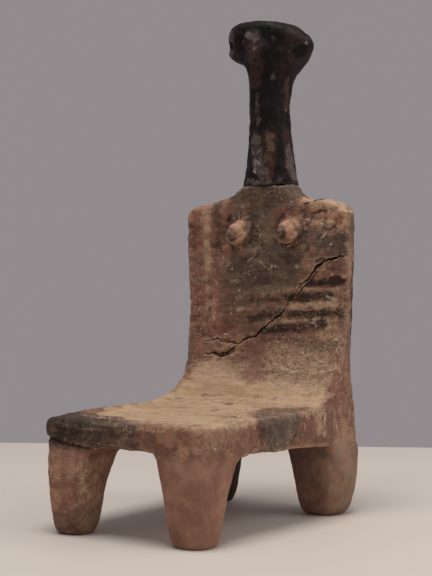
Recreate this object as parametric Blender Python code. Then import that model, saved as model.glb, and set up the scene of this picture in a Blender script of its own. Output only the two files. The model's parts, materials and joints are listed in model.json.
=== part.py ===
"""Enthroned goddess figurine: a seated figure whose body is also her four-legged chair.

One hand-built piece of fired clay makes the legs, the seat, the backrest with two pellet
breasts, and the stump of the neck. The head with the rest of the neck is a second piece,
broken clean across the foot of the neck and set back on. All sizes are in millimetres here
and become metres in the meshes. The figure faces -Y and stands on +Z up, so her right
side is at -X.
"""
import math

import bmesh
import bpy
from mathutils import Matrix, Vector

# Metres in one millimetre
MM = 0.001

# Plain clay colours as linear red, green and blue, and how rough they are
BODY_COLOUR = (0.30, 0.17, 0.10)
BODY_ROUGHNESS = 0.85
HEAD_COLOUR = (0.035, 0.026, 0.022)
HEAD_ROUGHNESS = 0.75

# Seat: half its width at the front, how much wider it gets on each side at the rear, and the rest
SEAT_HALF_WIDTH = 30.8
REAR_FLARE = 1.2
SEAT_DEPTH = 83.2
SEAT_UNDERSIDE = 27.0
SEAT_THICKNESS = 9.0
PLAN_CORNER = 7.0
PLAN_SQUARENESS = 2.4

# Backrest: its front face, thickness, reach past each side of the seat and height over the seat,
# then the soft hollow below it
BACK_FRONT = 36.6
BACK_THICKNESS = 8.0
BACK_OVERHANG = 3.5
BACK_SHIFT = -0.35
BACK_HEIGHT = 70.2
SWEEP_RADIUS = 25.0

# Waist of the backrest: share of its height, how tall, and how much narrower and thicker
WAIST_AT = 0.256
WAIST_TALL = 16.0
WAIST_NARROWER = 0.02
WAIST_CURL = 1.1
WAIST_ROUNDER = 1.2

# Side edges of the backrest: forward curl at the front and rounding at the rear
EDGE_CURL = 0.9
EDGE_ROUND = 2.6

# Shoulders: rise towards the neck, rounded ends, and wear at each grid line from -X to +X
SHOULDER_RISE = 3.4
SHOULDER_START = -0.15
SHOULDER_DRAW_IN = 0.965
SHOULDER_FOLLOW = 0.55
SHOULDER_WEAR = (-1.6, 0.5, 0.3, 1.1, 0.8, -0.8, -1.9, 0.2, -0.3, -5.1)

# Stump of the neck: height over the shoulders and the four-cornered ring of the break
STUMP_HEIGHT = 2.8
STUMP_HALF_WIDTH = 11.2
STUMP_HALF_DEPTH = 6.7
STUMP_FRONT_HALF_WIDTH = 4.7
STUMP_SIDE_HALF_DEPTH = 3.0
STUMP_SHIFT = -0.2
STUMP_BULGE = 0.9
STUMP_BLEND = 0.3
NECK_FORWARD = 0.2

# Hand-worked lines of the seat: rise of its side edges, and of the right edge from front to rear
SEAT_EDGE_RISE = 0.8
SEAT_RIGHT_RISE = (-1.7, -0.5, 0.5, 1.1, 1.5, 1.7, 1.6, 1.2, 0.9, 0.0)
SEAT_MIDDLE_SHARE = 0.3
SWEEP_EDGE_FORWARD = (0.9, 2.4)
FRONT_LIP_LIFT = 1.6
SIDE_LIP_DROP_FRONT = 2.0
SIDE_LIP_DROP_REAR = 3.9
REAR_FOOT_OF_BACK = 0.45
REAR_FOOT_ABOVE = 0.12

# Leg blocks: how far each reaches in from the seat's edges, and how the rear ones differ
LEG_BLOCK_WIDTH = 17.8
FRONT_BLOCK_DEPTH = 20.4
REAR_BLOCK_DEPTH = 21.6
REAR_LEG_PROUD = 2.2
REAR_GAP_NARROWER = 0.93

# Legs at a few shares of the height under the seat: half the thickness, how square the section
# is, and how far it has spread into the seat
LEG_SHARES = (0.0, 0.06, 0.26, 0.48, 0.685, 0.85)
FRONT_LEG_HALF = (4.9, 6.9, 7.9, 8.5, 8.9, 9.3)
REAR_LEG_HALF = (6.0, 8.3, 9.3, 10.0, 10.4, 10.8)
LEG_SQUARENESS = (2.6, 2.6, 2.8, 3.0, 3.2, 3.6)
LEG_SPREAD = (0.0, 0.0, 0.0, 0.04, 0.24, 0.62)

# For each leg, how far the foot's centre is set in from the seat's side and from its front or
# rear edge, its lean towards +X and how stout it is
FRONT_RIGHT_LEG = (9.2, 6.2, 1.2, 0.93)
FRONT_LEFT_LEG = (7.7, 7.4, 0.4, 1.01)
REAR_RIGHT_LEG = (8.7, 7.7, 0.0, 0.96)
REAR_LEFT_LEG = (8.3, 9.5, 0.3, 1.05)

# Breast pellets: x of each, drop below the shoulder, size, and how far they are pressed in
BREAST_RIGHT_X = -11.2
BREAST_LEFT_X = 10.2
BREAST_DROP = 9.8
BREAST_RADIUS = 4.5
BREAST_PROUD = 1.4

# Diagonal crack across the backrest, as shares of its half width and of its height
CRACK_WIDTH = 0.9
CRACK_DEPTH = 2.6
CRACK_START_SHARE = 0.25
CRACK_TAPER = 6.0
WEDGE_OUTSIDE = 3.0
MAIN_CRACK = (
    (0.945, 0.739), (0.726, 0.724), (0.601, 0.667), (0.519, 0.625), (0.417, 0.584), (0.309, 0.526),
    (0.216, 0.460), (0.108, 0.420), (0.017, 0.395), (-0.085, 0.339), (-0.233, 0.325), (-0.315, 0.298),
    (-0.455, 0.312), (-0.583, 0.316), (-0.773, 0.305),
)
LOWER_CRACK = ((-0.332, 0.293), (-0.367, 0.266), (-0.525, 0.239), (-0.633, 0.254), (-0.735, 0.249))

# Head and neck: clearance at the break, height, and how far its foot is set in from the stump
SEAM_GAP = 0.3
HEAD_HEIGHT = 58.2
HEAD_FOOT_INSET = (0.2, 0.3, 0.3, 0.2)

# Rings of the head: share of its height, then reach to -X, to +X, forward and back
HEAD_RINGS = (
    (0.040, 10.8, 10.3, 6.3, 6.4),
    (0.109, 9.8, 9.3, 6.1, 6.4),
    (0.212, 8.6, 8.3, 6.0, 6.3),
    (0.333, 7.9, 7.1, 6.2, 6.2),
    (0.463, 7.9, 6.8, 6.4, 6.1),
    (0.575, 7.9, 7.1, 6.6, 6.4),
    (0.653, 8.2, 8.0, 7.0, 8.0),
    (0.706, 9.0, 9.4, 7.4, 11.6),
    (0.748, 9.8, 11.4, 8.0, 13.4),
    (0.779, 14.8, 13.9, 8.6, 13.2),
    (0.817, 17.4, 15.6, 9.0, 12.4),
    (0.858, 16.0, 16.2, 8.6, 12.0),
    (0.896, 17.2, 15.2, 9.2, 11.4),
    (0.936, 16.6, 12.6, 9.8, 10.6),
    (0.971, 15.2, 10.6, 9.4, 9.6),
)
CROWN_SHRINK = 0.62
CROWN_TILT = -0.1
TILT_FROM = 0.858
HEAD_COLUMNS = 24
HEAD_SQUARENESS = 2.2

# Nose ridge and the hollows beside it: push, degrees round the head, and shares of its height
NOSE_REACH = 4.2
NOSE_SPREAD = 13.0
NOSE_AT = 0.807
NOSE_TALL = 0.069
CHEEK_HOLLOW = 1.3
CHEEK_ANGLE = 36.0
CHEEK_SPREAD = 17.0
CHEEK_AT = 0.826
CHEEK_TALL = 0.059

# Eye pellets
EYE_RADIUS = 1.7
EYE_FLATNESS = 0.8
EYE_X = 5.6
EYE_AT = 0.855
EYE_SUNK = 0.2

# Rows and columns of a pellet's ball
PELLET_SEGMENTS = 16
PELLET_RINGS = 10

# Smoothing levels of the clay surfaces, and the least angle in radians that stays crisp round the
# soles and the break
SMOOTH_LEVELS = 1
RIM_ANGLE = 0.4

# Shares at which grid lines cross a leg block, from its outer edge inwards
ACROSS_SHARES = (0.0, 0.27, 0.63, 1.0)
FRONT_ALONG_SHARES = (0.0, 0.27, 0.6, 1.0)
REAR_ALONG_SHARES = (0.0, 0.5, 1.0)

# Shares at which grid lines cross the gap between the legs, the middle of the seat and the back
GAP_SHARE = 0.36
SEAT_SHARES = (0.34, 0.68)
BACK_SHARES = (0.22, 0.44, 0.65, 0.83, 0.94, 1.0)
SWEEP_ANGLES = (0.0, 22.5, 45.0, 67.5, 90.0)


def mix(start, end, share):
    """Value a given share of the way from start to end."""
    return start + (end - start) * share


def ease(low, high, value):
    """Smooth climb from 0 at low to 1 at high."""
    share = min(max((value - low) / (high - low), 0.0), 1.0)
    return share * share * (3.0 - 2.0 * share)


def bell(value, centre, spread):
    """Soft bump that is 1 at its centre."""
    return math.exp(-((value - centre) / spread) ** 2)


def squeeze(across, along, power):
    """Pulls a point of a square on to the same place of a rounded square."""
    reach = max(abs(across), abs(along))
    if reach == 0.0:
        return across, along
    norm = (abs(across / reach) ** power + abs(along / reach) ** power) ** (1.0 / power)
    return across / norm, along / norm


def clay_material(name, colour, roughness):
    """Plain fired clay of one colour."""
    material = bpy.data.materials.new(name)
    material.use_nodes = True
    shader = material.node_tree.nodes["Principled BSDF"]
    shader.inputs["Base Color"].default_value = (*colour, 1.0)
    shader.inputs["Roughness"].default_value = roughness
    material.diffuse_color = (*colour, 1.0)
    return material


def link_mesh(name, mesh, material):
    """Object of a finished mesh, in the scene."""
    mesh.materials.append(material)
    item = bpy.data.objects.new(name, mesh)
    bpy.context.scene.collection.objects.link(item)
    return item


def add_object(name, points, faces, material, creased=()):
    """Closed mesh object from points in millimetres, with some edges kept crisp."""
    mesh = bpy.data.meshes.new(name)
    work = bmesh.new()
    corners = [work.verts.new(Vector(point) * MM) for point in points]
    for face in faces:
        work.faces.new([corners[index] for index in face])
    work.normal_update()
    bmesh.ops.recalc_face_normals(work, faces=work.faces)
    work.verts.index_update()
    if creased:
        layer = work.edges.layers.float.new("crease_edge")
        wanted = set(creased)
        for edge in work.edges:
            ends = {edge.verts[0].index, edge.verts[1].index}
            rim = ends <= wanted and edge.calc_face_angle() > RIM_ANGLE
            edge[layer] = 1.0 if rim else 0.0
    for face in work.faces:
        face.smooth = True
    work.to_mesh(mesh)
    work.free()
    return link_mesh(name, mesh, material)


def add_smoothing(item):
    """Rounds the blocked-out clay."""
    smoothing = item.modifiers.new("smoothed clay", "SUBSURF")
    smoothing.levels = SMOOTH_LEVELS
    smoothing.render_levels = SMOOTH_LEVELS


def add_boolean(item, tool, operation):
    """Joins or cuts one hidden shape into the item."""
    step = item.modifiers.new(tool.name, "BOOLEAN")
    step.operation = operation
    step.solver = "EXACT"
    step.object = tool
    tool.hide_render = True
    tool.display_type = "WIRE"


# Widths, heights and depths that follow from the driving sizes
REAR_HALF_WIDTH = SEAT_HALF_WIDTH + REAR_FLARE
BACK_HALF_WIDTH = SEAT_HALF_WIDTH + BACK_OVERHANG
SEAT_TOP = SEAT_UNDERSIDE + SEAT_THICKNESS
SEAT_FRONT = BACK_FRONT - SEAT_DEPTH
BACK_REAR = BACK_FRONT + BACK_THICKNESS
REAR_LEG_OUTER = BACK_REAR + REAR_LEG_PROUD
FRONT_LEG_INNER = SEAT_FRONT + FRONT_BLOCK_DEPTH
REAR_LEG_INNER = REAR_LEG_OUTER - REAR_BLOCK_DEPTH
LEG_INNER_X = SEAT_HALF_WIDTH - LEG_BLOCK_WIDTH
SHOULDER_HEIGHT = SEAT_TOP + BACK_HEIGHT
SHOULDER_AT_NECK = SHOULDER_HEIGHT + SHOULDER_RISE
SEAM_HEIGHT = SHOULDER_AT_NECK + STUMP_HEIGHT
NECK_CENTRE = mix(BACK_FRONT, BACK_REAR, 0.5) - NECK_FORWARD
HEAD_FOOT = SEAM_HEIGHT + SEAM_GAP
HEAD_TOP = HEAD_FOOT + HEAD_HEIGHT


def sweep_point(angle):
    """Point (y, z) on the hollow between the seat and the backrest."""
    turn = math.radians(angle)
    return (
        BACK_FRONT - SWEEP_RADIUS * (1.0 - math.sin(turn)),
        SEAT_TOP + SWEEP_RADIUS * (1.0 - math.cos(turn)),
    )


# Grid lines that block out the body, from the right side, the front and the ground
SWEEP = [sweep_point(angle) for angle in SWEEP_ANGLES]
LEG_X_LINES = [mix(SEAT_HALF_WIDTH, LEG_INNER_X, share) for share in ACROSS_SHARES]
HALF_X_LINES = LEG_X_LINES + [GAP_SHARE * LEG_INNER_X]
X_LINES = [-x for x in HALF_X_LINES] + HALF_X_LINES[::-1]
FRONT_Y_LINES = [mix(SEAT_FRONT, FRONT_LEG_INNER, share) for share in FRONT_ALONG_SHARES]
SEAT_Y_LINES = [mix(FRONT_LEG_INNER, SWEEP[0][0], share) for share in SEAT_SHARES] + [SWEEP[0][0]]
REAR_Y_LINES = [mix(REAR_LEG_INNER, REAR_LEG_OUTER, share) for share in REAR_ALONG_SHARES]
TOP_Y_LINES = FRONT_Y_LINES + SEAT_Y_LINES + [SWEEP[1][0], SWEEP[2][0], BACK_REAR]
UNDER_Y_LINES = FRONT_Y_LINES + SEAT_Y_LINES + REAR_Y_LINES
LEG_Z_LINES = [share * SEAT_UNDERSIDE for share in LEG_SHARES]
SEAT_Z_LINES = [SEAT_UNDERSIDE, mix(SEAT_UNDERSIDE, SEAT_TOP, 0.5), SEAT_TOP, SWEEP[3][1], SWEEP[4][1]]
BACK_Z_LINES = [mix(SWEEP[4][1], SHOULDER_HEIGHT, share) for share in BACK_SHARES]
Z_LINES = LEG_Z_LINES + SEAT_Z_LINES + BACK_Z_LINES + [SEAM_HEIGHT]

# Numbers of the lines and cells where the parts of the body meet
LAST = len(X_LINES) - 1
UNDER_LEVEL = len(LEG_Z_LINES)
MID_LEVEL = UNDER_LEVEL + 1
TOP_LEVEL = UNDER_LEVEL + 2
SEAM_LEVEL = len(Z_LINES) - 1
SHOULDER_LEVEL = SEAM_LEVEL - 1
INNER_LINES = (3, 6)
GAP_LINES = (4, 5)
LEG_COLUMNS = (0, 1, 2, 6, 7, 8)
NECK_COLUMNS = (3, 4, 5)
FRONT_LEG_ROWS = (0, 1, 2)
REAR_LEG_ROWS = (7, 8)
BACK_ROW = 8


def is_clay(column, row, level):
    """Whether one cell of the blocked-out grid is filled with clay."""
    if column not in range(LAST) or row not in range(LAST) or level not in range(SEAM_LEVEL):
        return False
    if level < UNDER_LEVEL:
        return column in LEG_COLUMNS and (row in FRONT_LEG_ROWS or row in REAR_LEG_ROWS)
    if level < TOP_LEVEL:
        return True
    if level < SHOULDER_LEVEL:
        return row == BACK_ROW
    return row == BACK_ROW and column in NECK_COLUMNS


def leg_point(column, row, level):
    """Point of a leg: a rounded-square section that tapers to the foot."""
    height = LEG_Z_LINES[level]
    right = column <= INNER_LINES[0]
    front = row <= FRONT_LEG_ROWS[-1] + 1
    side = -1.0 if right else 1.0
    across = 1.0 - 2.0 * ACROSS_SHARES[column if right else LAST - column]
    if front:
        along = 2.0 * FRONT_ALONG_SHARES[row] - 1.0
        half = FRONT_LEG_HALF[level]
        inset_x, inset_y, lean, stout = FRONT_RIGHT_LEG if right else FRONT_LEFT_LEG
        foot_x = side * (SEAT_HALF_WIDTH - inset_x)
        foot_y = SEAT_FRONT + inset_y
    else:
        along = 2.0 * REAR_ALONG_SHARES[row - REAR_LEG_ROWS[0]] - 1.0
        half = REAR_LEG_HALF[level]
        inset_x, inset_y, lean, stout = REAR_RIGHT_LEG if right else REAR_LEFT_LEG
        foot_x = side * (REAR_HALF_WIDTH - inset_x)
        foot_y = REAR_LEG_OUTER - inset_y
    across, along = squeeze(across, along, LEG_SQUARENESS[level])
    x = foot_x + lean * height / SEAT_UNDERSIDE + side * half * stout * across
    y = foot_y + half * stout * along
    block_x, block_y = seat_plan(X_LINES[column], UNDER_Y_LINES[row])
    spread = LEG_SPREAD[level]
    return mix(x, block_x, spread), mix(y, block_y, spread), height


def seat_plan(x, y):
    """Point of the seat: wider towards the back, its front corners rounded."""
    widening = ease(FRONT_LEG_INNER, REAR_LEG_INNER, y)
    if abs(x) <= LEG_INNER_X:
        x *= mix(1.0, REAR_GAP_NARROWER, widening)
    else:
        x *= mix(1.0, REAR_HALF_WIDTH / SEAT_HALF_WIDTH, widening)
    inset_x = SEAT_HALF_WIDTH - PLAN_CORNER
    inset_y = SEAT_FRONT + PLAN_CORNER
    past_x = abs(x) - inset_x
    past_y = inset_y - y
    if past_x <= 0.0 or past_y <= 0.0:
        return x, y
    past_x, past_y = squeeze(past_x, past_y, PLAN_SQUARENESS)
    return math.copysign(inset_x + past_x, x), inset_y - past_y


def underside_point(column, row):
    """Point of the seat's lower edge: lifted at the front, hanging a little at the sides."""
    x, y = seat_plan(X_LINES[column], UNDER_Y_LINES[row])
    height = SEAT_UNDERSIDE
    if row == 0:
        height += FRONT_LIP_LIFT
    elif column in (0, LAST):
        height -= mix(SIDE_LIP_DROP_FRONT, SIDE_LIP_DROP_REAR, ease(SEAT_FRONT, REAR_LEG_INNER, y))
    return x, y, height


def seat_middle_point(column, row):
    """Point half-way up the seat's edge."""
    y = mix(UNDER_Y_LINES[row], TOP_Y_LINES[row], SEAT_MIDDLE_SHARE)
    return (*seat_plan(X_LINES[column], y), Z_LINES[MID_LEVEL])


def seat_top_point(column, row):
    """Point of the seat's top, which sweeps up at the rear into the backrest."""
    x, y = seat_plan(X_LINES[column], TOP_Y_LINES[row])
    height = SEAT_TOP
    if row in REAR_LEG_ROWS:
        height = SWEEP[row - REAR_LEG_ROWS[0] + 1][1]
    if row == LAST:
        y = mix(BACK_REAR, REAR_LEG_OUTER, REAR_FOOT_OF_BACK)
    if column == 0:
        height += SEAT_RIGHT_RISE[row]
    if column in (0, LAST) and row > 1:
        height += SEAT_EDGE_RISE
    if column in (0, LAST) and row in REAR_LEG_ROWS:
        y -= SWEEP_EDGE_FORWARD[row - REAR_LEG_ROWS[0]]
    return x, y, height


def shoulder_line(x):
    """Height of the shoulders: gently falling from the neck, rounded at the ends."""
    share = (abs(x) - LEG_INNER_X) / (BACK_HALF_WIDTH - LEG_INNER_X)
    fall = ease(SHOULDER_START, 1.0, share)
    return mix(SHOULDER_AT_NECK, SHOULDER_HEIGHT, fall)


def back_point(column, level, front):
    """Point of the backrest's front or rear face, up to the shoulders."""
    height = Z_LINES[level]
    y = BACK_FRONT if front else BACK_REAR
    if level == TOP_LEVEL + 1:
        y = SWEEP[3][0] if front else mix(BACK_REAR, REAR_LEG_OUTER, REAR_FOOT_ABOVE)
    waist = bell(height, mix(SEAT_TOP, SHOULDER_HEIGHT, WAIST_AT), WAIST_TALL)
    x = X_LINES[column] * BACK_HALF_WIDTH / SEAT_HALF_WIDTH * (1.0 - WAIST_NARROWER * waist)
    x += BACK_SHIFT
    if column in (0, LAST):
        if front:
            y -= EDGE_CURL + WAIST_CURL * waist
        else:
            x -= math.copysign(EDGE_ROUND + WAIST_ROUNDER * waist, x)
    if level == SHOULDER_LEVEL:
        height = shoulder_line(x) + SHOULDER_WEAR[column]
        if column in (0, LAST):
            x *= SHOULDER_DRAW_IN
        if column in GAP_LINES:
            height = mix(height, SEAM_HEIGHT, STUMP_BLEND)
            y += -STUMP_BULGE if front else STUMP_BULGE
    if level == SHOULDER_LEVEL - 1:
        height += SHOULDER_FOLLOW * (shoulder_line(x) - SHOULDER_HEIGHT)
    return x, y, height


def stump_point(column, front):
    """Point of the break across the foot of the neck."""
    half_x = STUMP_HALF_WIDTH if column in INNER_LINES else STUMP_FRONT_HALF_WIDTH
    half_y = STUMP_SIDE_HALF_DEPTH if column in INNER_LINES else STUMP_HALF_DEPTH
    x = math.copysign(half_x, X_LINES[column]) + STUMP_SHIFT
    y = NECK_CENTRE - half_y if front else NECK_CENTRE + half_y
    return x, y, SEAM_HEIGHT


def body_point(column, row, level):
    """Where one corner of the blocked-out grid sits on the finished body."""
    if level < UNDER_LEVEL:
        return leg_point(column, row, level)
    if level == UNDER_LEVEL:
        return underside_point(column, row)
    if level == MID_LEVEL:
        return seat_middle_point(column, row)
    if level == TOP_LEVEL:
        return seat_top_point(column, row)
    if level == SEAM_LEVEL:
        return stump_point(column, row == BACK_ROW)
    return back_point(column, level, row == BACK_ROW)


def build_body(material):
    """Skins the filled cells of the grid and smooths them."""
    points = []
    index_of = {}
    faces = []
    crisp = set()

    def corner(column, row, level):
        key = (column, row, level)
        if key not in index_of:
            index_of[key] = len(points)
            points.append(body_point(column, row, level))
            if level in (0, SEAM_LEVEL):
                crisp.add(index_of[key])
        return index_of[key]

    sides = (
        ((-1, 0, 0), ((0, 0, 0), (0, 0, 1), (0, 1, 1), (0, 1, 0))),
        ((1, 0, 0), ((1, 0, 0), (1, 1, 0), (1, 1, 1), (1, 0, 1))),
        ((0, -1, 0), ((0, 0, 0), (1, 0, 0), (1, 0, 1), (0, 0, 1))),
        ((0, 1, 0), ((0, 1, 0), (0, 1, 1), (1, 1, 1), (1, 1, 0))),
        ((0, 0, -1), ((0, 0, 0), (0, 1, 0), (1, 1, 0), (1, 0, 0))),
        ((0, 0, 1), ((0, 0, 1), (1, 0, 1), (1, 1, 1), (0, 1, 1))),
    )
    for column in range(LAST):
        for row in range(LAST):
            for level in range(SEAM_LEVEL):
                if not is_clay(column, row, level):
                    continue
                for step, face in sides:
                    if is_clay(column + step[0], row + step[1], level + step[2]):
                        continue
                    faces.append([corner(column + a, row + b, level + c) for a, b, c in face])
    body = add_object("seated_body", points, faces, material, crisp)
    add_smoothing(body)
    return body


def head_rings():
    """All rings of the head piece in millimetres, from the break up to the flat crown."""
    stump = (
        STUMP_HALF_WIDTH - STUMP_SHIFT, STUMP_HALF_WIDTH + STUMP_SHIFT,
        STUMP_HALF_DEPTH, STUMP_HALF_DEPTH,
    )
    foot = [reach - inset for reach, inset in zip(stump, HEAD_FOOT_INSET)]
    crown = [reach * CROWN_SHRINK for reach in HEAD_RINGS[-1][1:]]
    middle = [(HEAD_FOOT + share * HEAD_HEIGHT, *reaches) for share, *reaches in HEAD_RINGS]
    return [(HEAD_FOOT, *foot)] + middle + [(HEAD_TOP, *crown)]


def head_point(ring, column):
    """Point of one ring, with the nose pushed out and the cheeks pushed in."""
    height, left, right, forward, back = ring
    share = (height - HEAD_FOOT) / HEAD_HEIGHT
    degrees = 360.0 * column / HEAD_COLUMNS - 180.0
    turn = math.radians(degrees)
    half_x = right if turn > 0.0 else left
    half_y = forward if abs(degrees) < 90.0 else back
    power = 2.0 / HEAD_SQUARENESS
    x = half_x * math.copysign(abs(math.sin(turn)) ** power, math.sin(turn))
    y = -half_y * math.copysign(abs(math.cos(turn)) ** power, math.cos(turn))
    nose = NOSE_REACH * bell(degrees, 0.0, NOSE_SPREAD) * bell(share, NOSE_AT, NOSE_TALL)
    cheek = CHEEK_HOLLOW * bell(abs(degrees), CHEEK_ANGLE, CHEEK_SPREAD) * bell(share, CHEEK_AT, CHEEK_TALL)
    push = nose - cheek
    tilt = CROWN_TILT * x * ease(TILT_FROM, 1.0, share)
    return x + push * math.sin(turn), NECK_CENTRE + y - push * math.cos(turn), height + tilt


def build_head(material):
    """Lofts the neck and head through their rings and closes both ends."""
    rings = head_rings()
    points = [head_point(ring, column) for ring in rings for column in range(HEAD_COLUMNS)]
    faces = []
    for ring in range(len(rings) - 1):
        for column in range(HEAD_COLUMNS):
            after = (column + 1) % HEAD_COLUMNS
            low = ring * HEAD_COLUMNS
            high = low + HEAD_COLUMNS
            faces.append([low + column, low + after, high + after, high + column])
    faces.append(list(range(HEAD_COLUMNS))[::-1])
    last = (len(rings) - 1) * HEAD_COLUMNS
    faces.append(list(range(last, last + HEAD_COLUMNS)))
    head = add_object("head_and_neck", points, faces, material, range(HEAD_COLUMNS))
    add_smoothing(head)
    return head


def eye_depth():
    """How far the head's front reaches forward at the height of the eyes."""
    for below, above in zip(HEAD_RINGS, HEAD_RINGS[1:]):
        if above[0] >= EYE_AT:
            share = (EYE_AT - below[0]) / (above[0] - below[0])
            return mix(below[3], above[3], share)
    return HEAD_RINGS[-1][3]


def add_pellet(name, centre, radius, flatness, material):
    """Ball of clay pressed on to the surface."""
    mesh = bpy.data.meshes.new(name)
    work = bmesh.new()
    bmesh.ops.create_uvsphere(work, u_segments=PELLET_SEGMENTS, v_segments=PELLET_RINGS, radius=radius * MM)
    for face in work.faces:
        face.smooth = True
    for vert in work.verts:
        vert.co.y *= flatness
    bmesh.ops.translate(work, verts=work.verts, vec=Vector(centre) * MM)
    work.to_mesh(mesh)
    work.free()
    return link_mesh(name, mesh, material)


def add_crack(name, shares, material):
    """Thin wedge along a crack: open outside the clay, closed to an edge inside it."""
    path = [(BACK_HALF_WIDTH * across, SEAT_TOP + BACK_HEIGHT * up) for across, up in shares]
    points = []
    faces = []
    last = len(path) - 1
    for index, (x, z) in enumerate(path):
        before = path[max(index - 1, 0)]
        after = path[min(index + 1, last)]
        run = Vector((after[0] - before[0], after[1] - before[1])).normalized()
        share = index / last
        ends = CRACK_TAPER * min(share, 1.0 - share) + CRACK_START_SHARE
        half = 0.5 * CRACK_WIDTH * min(1.0, ends) * (WEDGE_OUTSIDE + CRACK_DEPTH) / CRACK_DEPTH
        points.append((x - run[1] * half, BACK_FRONT - WEDGE_OUTSIDE, z + run[0] * half))
        points.append((x + run[1] * half, BACK_FRONT - WEDGE_OUTSIDE, z - run[0] * half))
        points.append((x, BACK_FRONT + CRACK_DEPTH, z))
    for index in range(last):
        low = 3 * index
        high = low + 3
        faces.append([low, low + 1, high + 1, high])
        faces.append([low + 1, low + 2, high + 2, high + 1])
        faces.append([low + 2, low, high, high + 2])
    faces.append([2, 1, 0])
    faces.append([3 * last, 3 * last + 1, 3 * last + 2])
    return add_object(name, points, faces, material)


def settle(items, shown):
    """Moves everything so that the figure's box is centred on the origin and stands on it."""
    bpy.context.view_layer.update()
    graph = bpy.context.evaluated_depsgraph_get()
    corners = []
    for item in shown:
        corners += [Vector(vertex.co) for vertex in item.evaluated_get(graph).data.vertices]
    low = [min(corner[axis] for corner in corners) for axis in range(3)]
    high = [max(corner[axis] for corner in corners) for axis in range(3)]
    shift = Vector((-0.5 * (low[0] + high[0]), -0.5 * (low[1] + high[1]), -low[2]))
    for item in items:
        item.data.transform(Matrix.Translation(shift))
    print("overall size in mm", [round((high[axis] - low[axis]) / MM, 2) for axis in range(3)])
    print("shift in mm", [round(value / MM, 2) for value in shift])


for item in list(bpy.data.objects):
    bpy.data.objects.remove(item, do_unlink=True)

body_clay = clay_material("fired clay with worn slip", BODY_COLOUR, BODY_ROUGHNESS)
head_clay = clay_material("fired clay painted black", HEAD_COLOUR, HEAD_ROUGHNESS)

body = build_body(body_clay)
head = build_head(head_clay)

tools = []
for side, word, breast_x in ((-1.0, "right", BREAST_RIGHT_X), (1.0, "left", BREAST_LEFT_X)):
    centre = (breast_x, BACK_FRONT - BREAST_PROUD, SHOULDER_HEIGHT - BREAST_DROP)
    breast = add_pellet("breast pellet " + word, centre, BREAST_RADIUS, 1.0, body_clay)
    add_boolean(body, breast, "UNION")
    centre = (side * EYE_X, NECK_CENTRE - eye_depth() + EYE_SUNK, HEAD_FOOT + EYE_AT * HEAD_HEIGHT)
    eye = add_pellet("eye pellet " + word, centre, EYE_RADIUS, EYE_FLATNESS, head_clay)
    add_boolean(head, eye, "UNION")
    tools += [breast, eye]

for name, shares in (("main crack", MAIN_CRACK), ("lower crack", LOWER_CRACK)):
    crack = add_crack(name, shares, body_clay)
    add_boolean(body, crack, "DIFFERENCE")
    tools.append(crack)

settle([body, head] + tools, [body, head])
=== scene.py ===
# %% [markdown]
# # A clay goddess who is also her chair
# The real thing is a figurine about a hand's length high. A potter pinched four legs, a seat and
# a backrest from one lump, pressed two pellets on it for breasts and drew the top out into a neck.
# The head broke off at the foot of the neck and was set back on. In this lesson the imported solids
# give every size, and we only work over their skin: finer clay, the crack, wear and old paint.

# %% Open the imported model
import json
import math

import bmesh
import bpy
import numpy as np
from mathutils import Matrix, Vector, noise

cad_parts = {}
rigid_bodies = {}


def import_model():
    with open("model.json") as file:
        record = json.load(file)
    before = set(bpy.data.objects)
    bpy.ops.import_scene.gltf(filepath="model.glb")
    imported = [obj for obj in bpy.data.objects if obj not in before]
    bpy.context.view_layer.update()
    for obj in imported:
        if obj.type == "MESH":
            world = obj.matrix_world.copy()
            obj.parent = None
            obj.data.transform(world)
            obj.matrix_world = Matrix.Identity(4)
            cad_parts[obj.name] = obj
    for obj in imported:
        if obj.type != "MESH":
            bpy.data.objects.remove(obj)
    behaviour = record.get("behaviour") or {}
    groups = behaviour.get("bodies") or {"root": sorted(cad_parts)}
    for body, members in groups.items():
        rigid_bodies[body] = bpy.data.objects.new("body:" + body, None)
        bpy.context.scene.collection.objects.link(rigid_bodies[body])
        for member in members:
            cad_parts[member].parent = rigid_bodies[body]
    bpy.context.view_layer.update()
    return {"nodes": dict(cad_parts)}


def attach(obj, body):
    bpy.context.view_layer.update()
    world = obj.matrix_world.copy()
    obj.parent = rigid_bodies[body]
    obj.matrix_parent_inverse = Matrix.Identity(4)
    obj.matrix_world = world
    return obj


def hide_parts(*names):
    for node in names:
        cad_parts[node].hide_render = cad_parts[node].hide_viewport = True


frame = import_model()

MM = 0.001
print("nodes to finish:", sorted(frame["nodes"]))

# %% [markdown]
# ## Colours by their hex code
# A colour picker shows sRGB values, and a shader wants linear ones. One function turns the first
# into the second, so that every colour below can be written the way a picker shows it.

# %% Turn a hex colour to linear values
SRGB_KNEE = 0.04045
SRGB_SLOPE = 12.92
SRGB_LIFT = 0.055
SRGB_POWER = 2.4


def linear(code):
    """Linear red, green, blue and alpha of an sRGB hex colour."""
    values = []
    for start in (1, 3, 5):
        share = int(code[start:start + 2], 16) / 255.0
        if share <= SRGB_KNEE:
            values.append(share / SRGB_SLOPE)
        else:
            values.append(((share + SRGB_LIFT) / (1.0 + SRGB_LIFT)) ** SRGB_POWER)
    return (*values, 1.0)


print("mid grey is", [round(value, 3) for value in linear("#808080")])

# %% [markdown]
# ## The camera
# The picture was taken from the figure's left, a little below the middle of its height, with a
# long lens. The camera's place was worked out from the legs, the seat's corners and the horizon.
# Azimuth 0 would look along +Y, straight at the figure's front.

# %% Place the camera
EYE = (247.9, -360.6, 72.5)
LOOK_AZIMUTH = 34.3
LOOK_UP = 0.52
LENS_MM = 82.8
SENSOR_MM = 36.0

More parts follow.
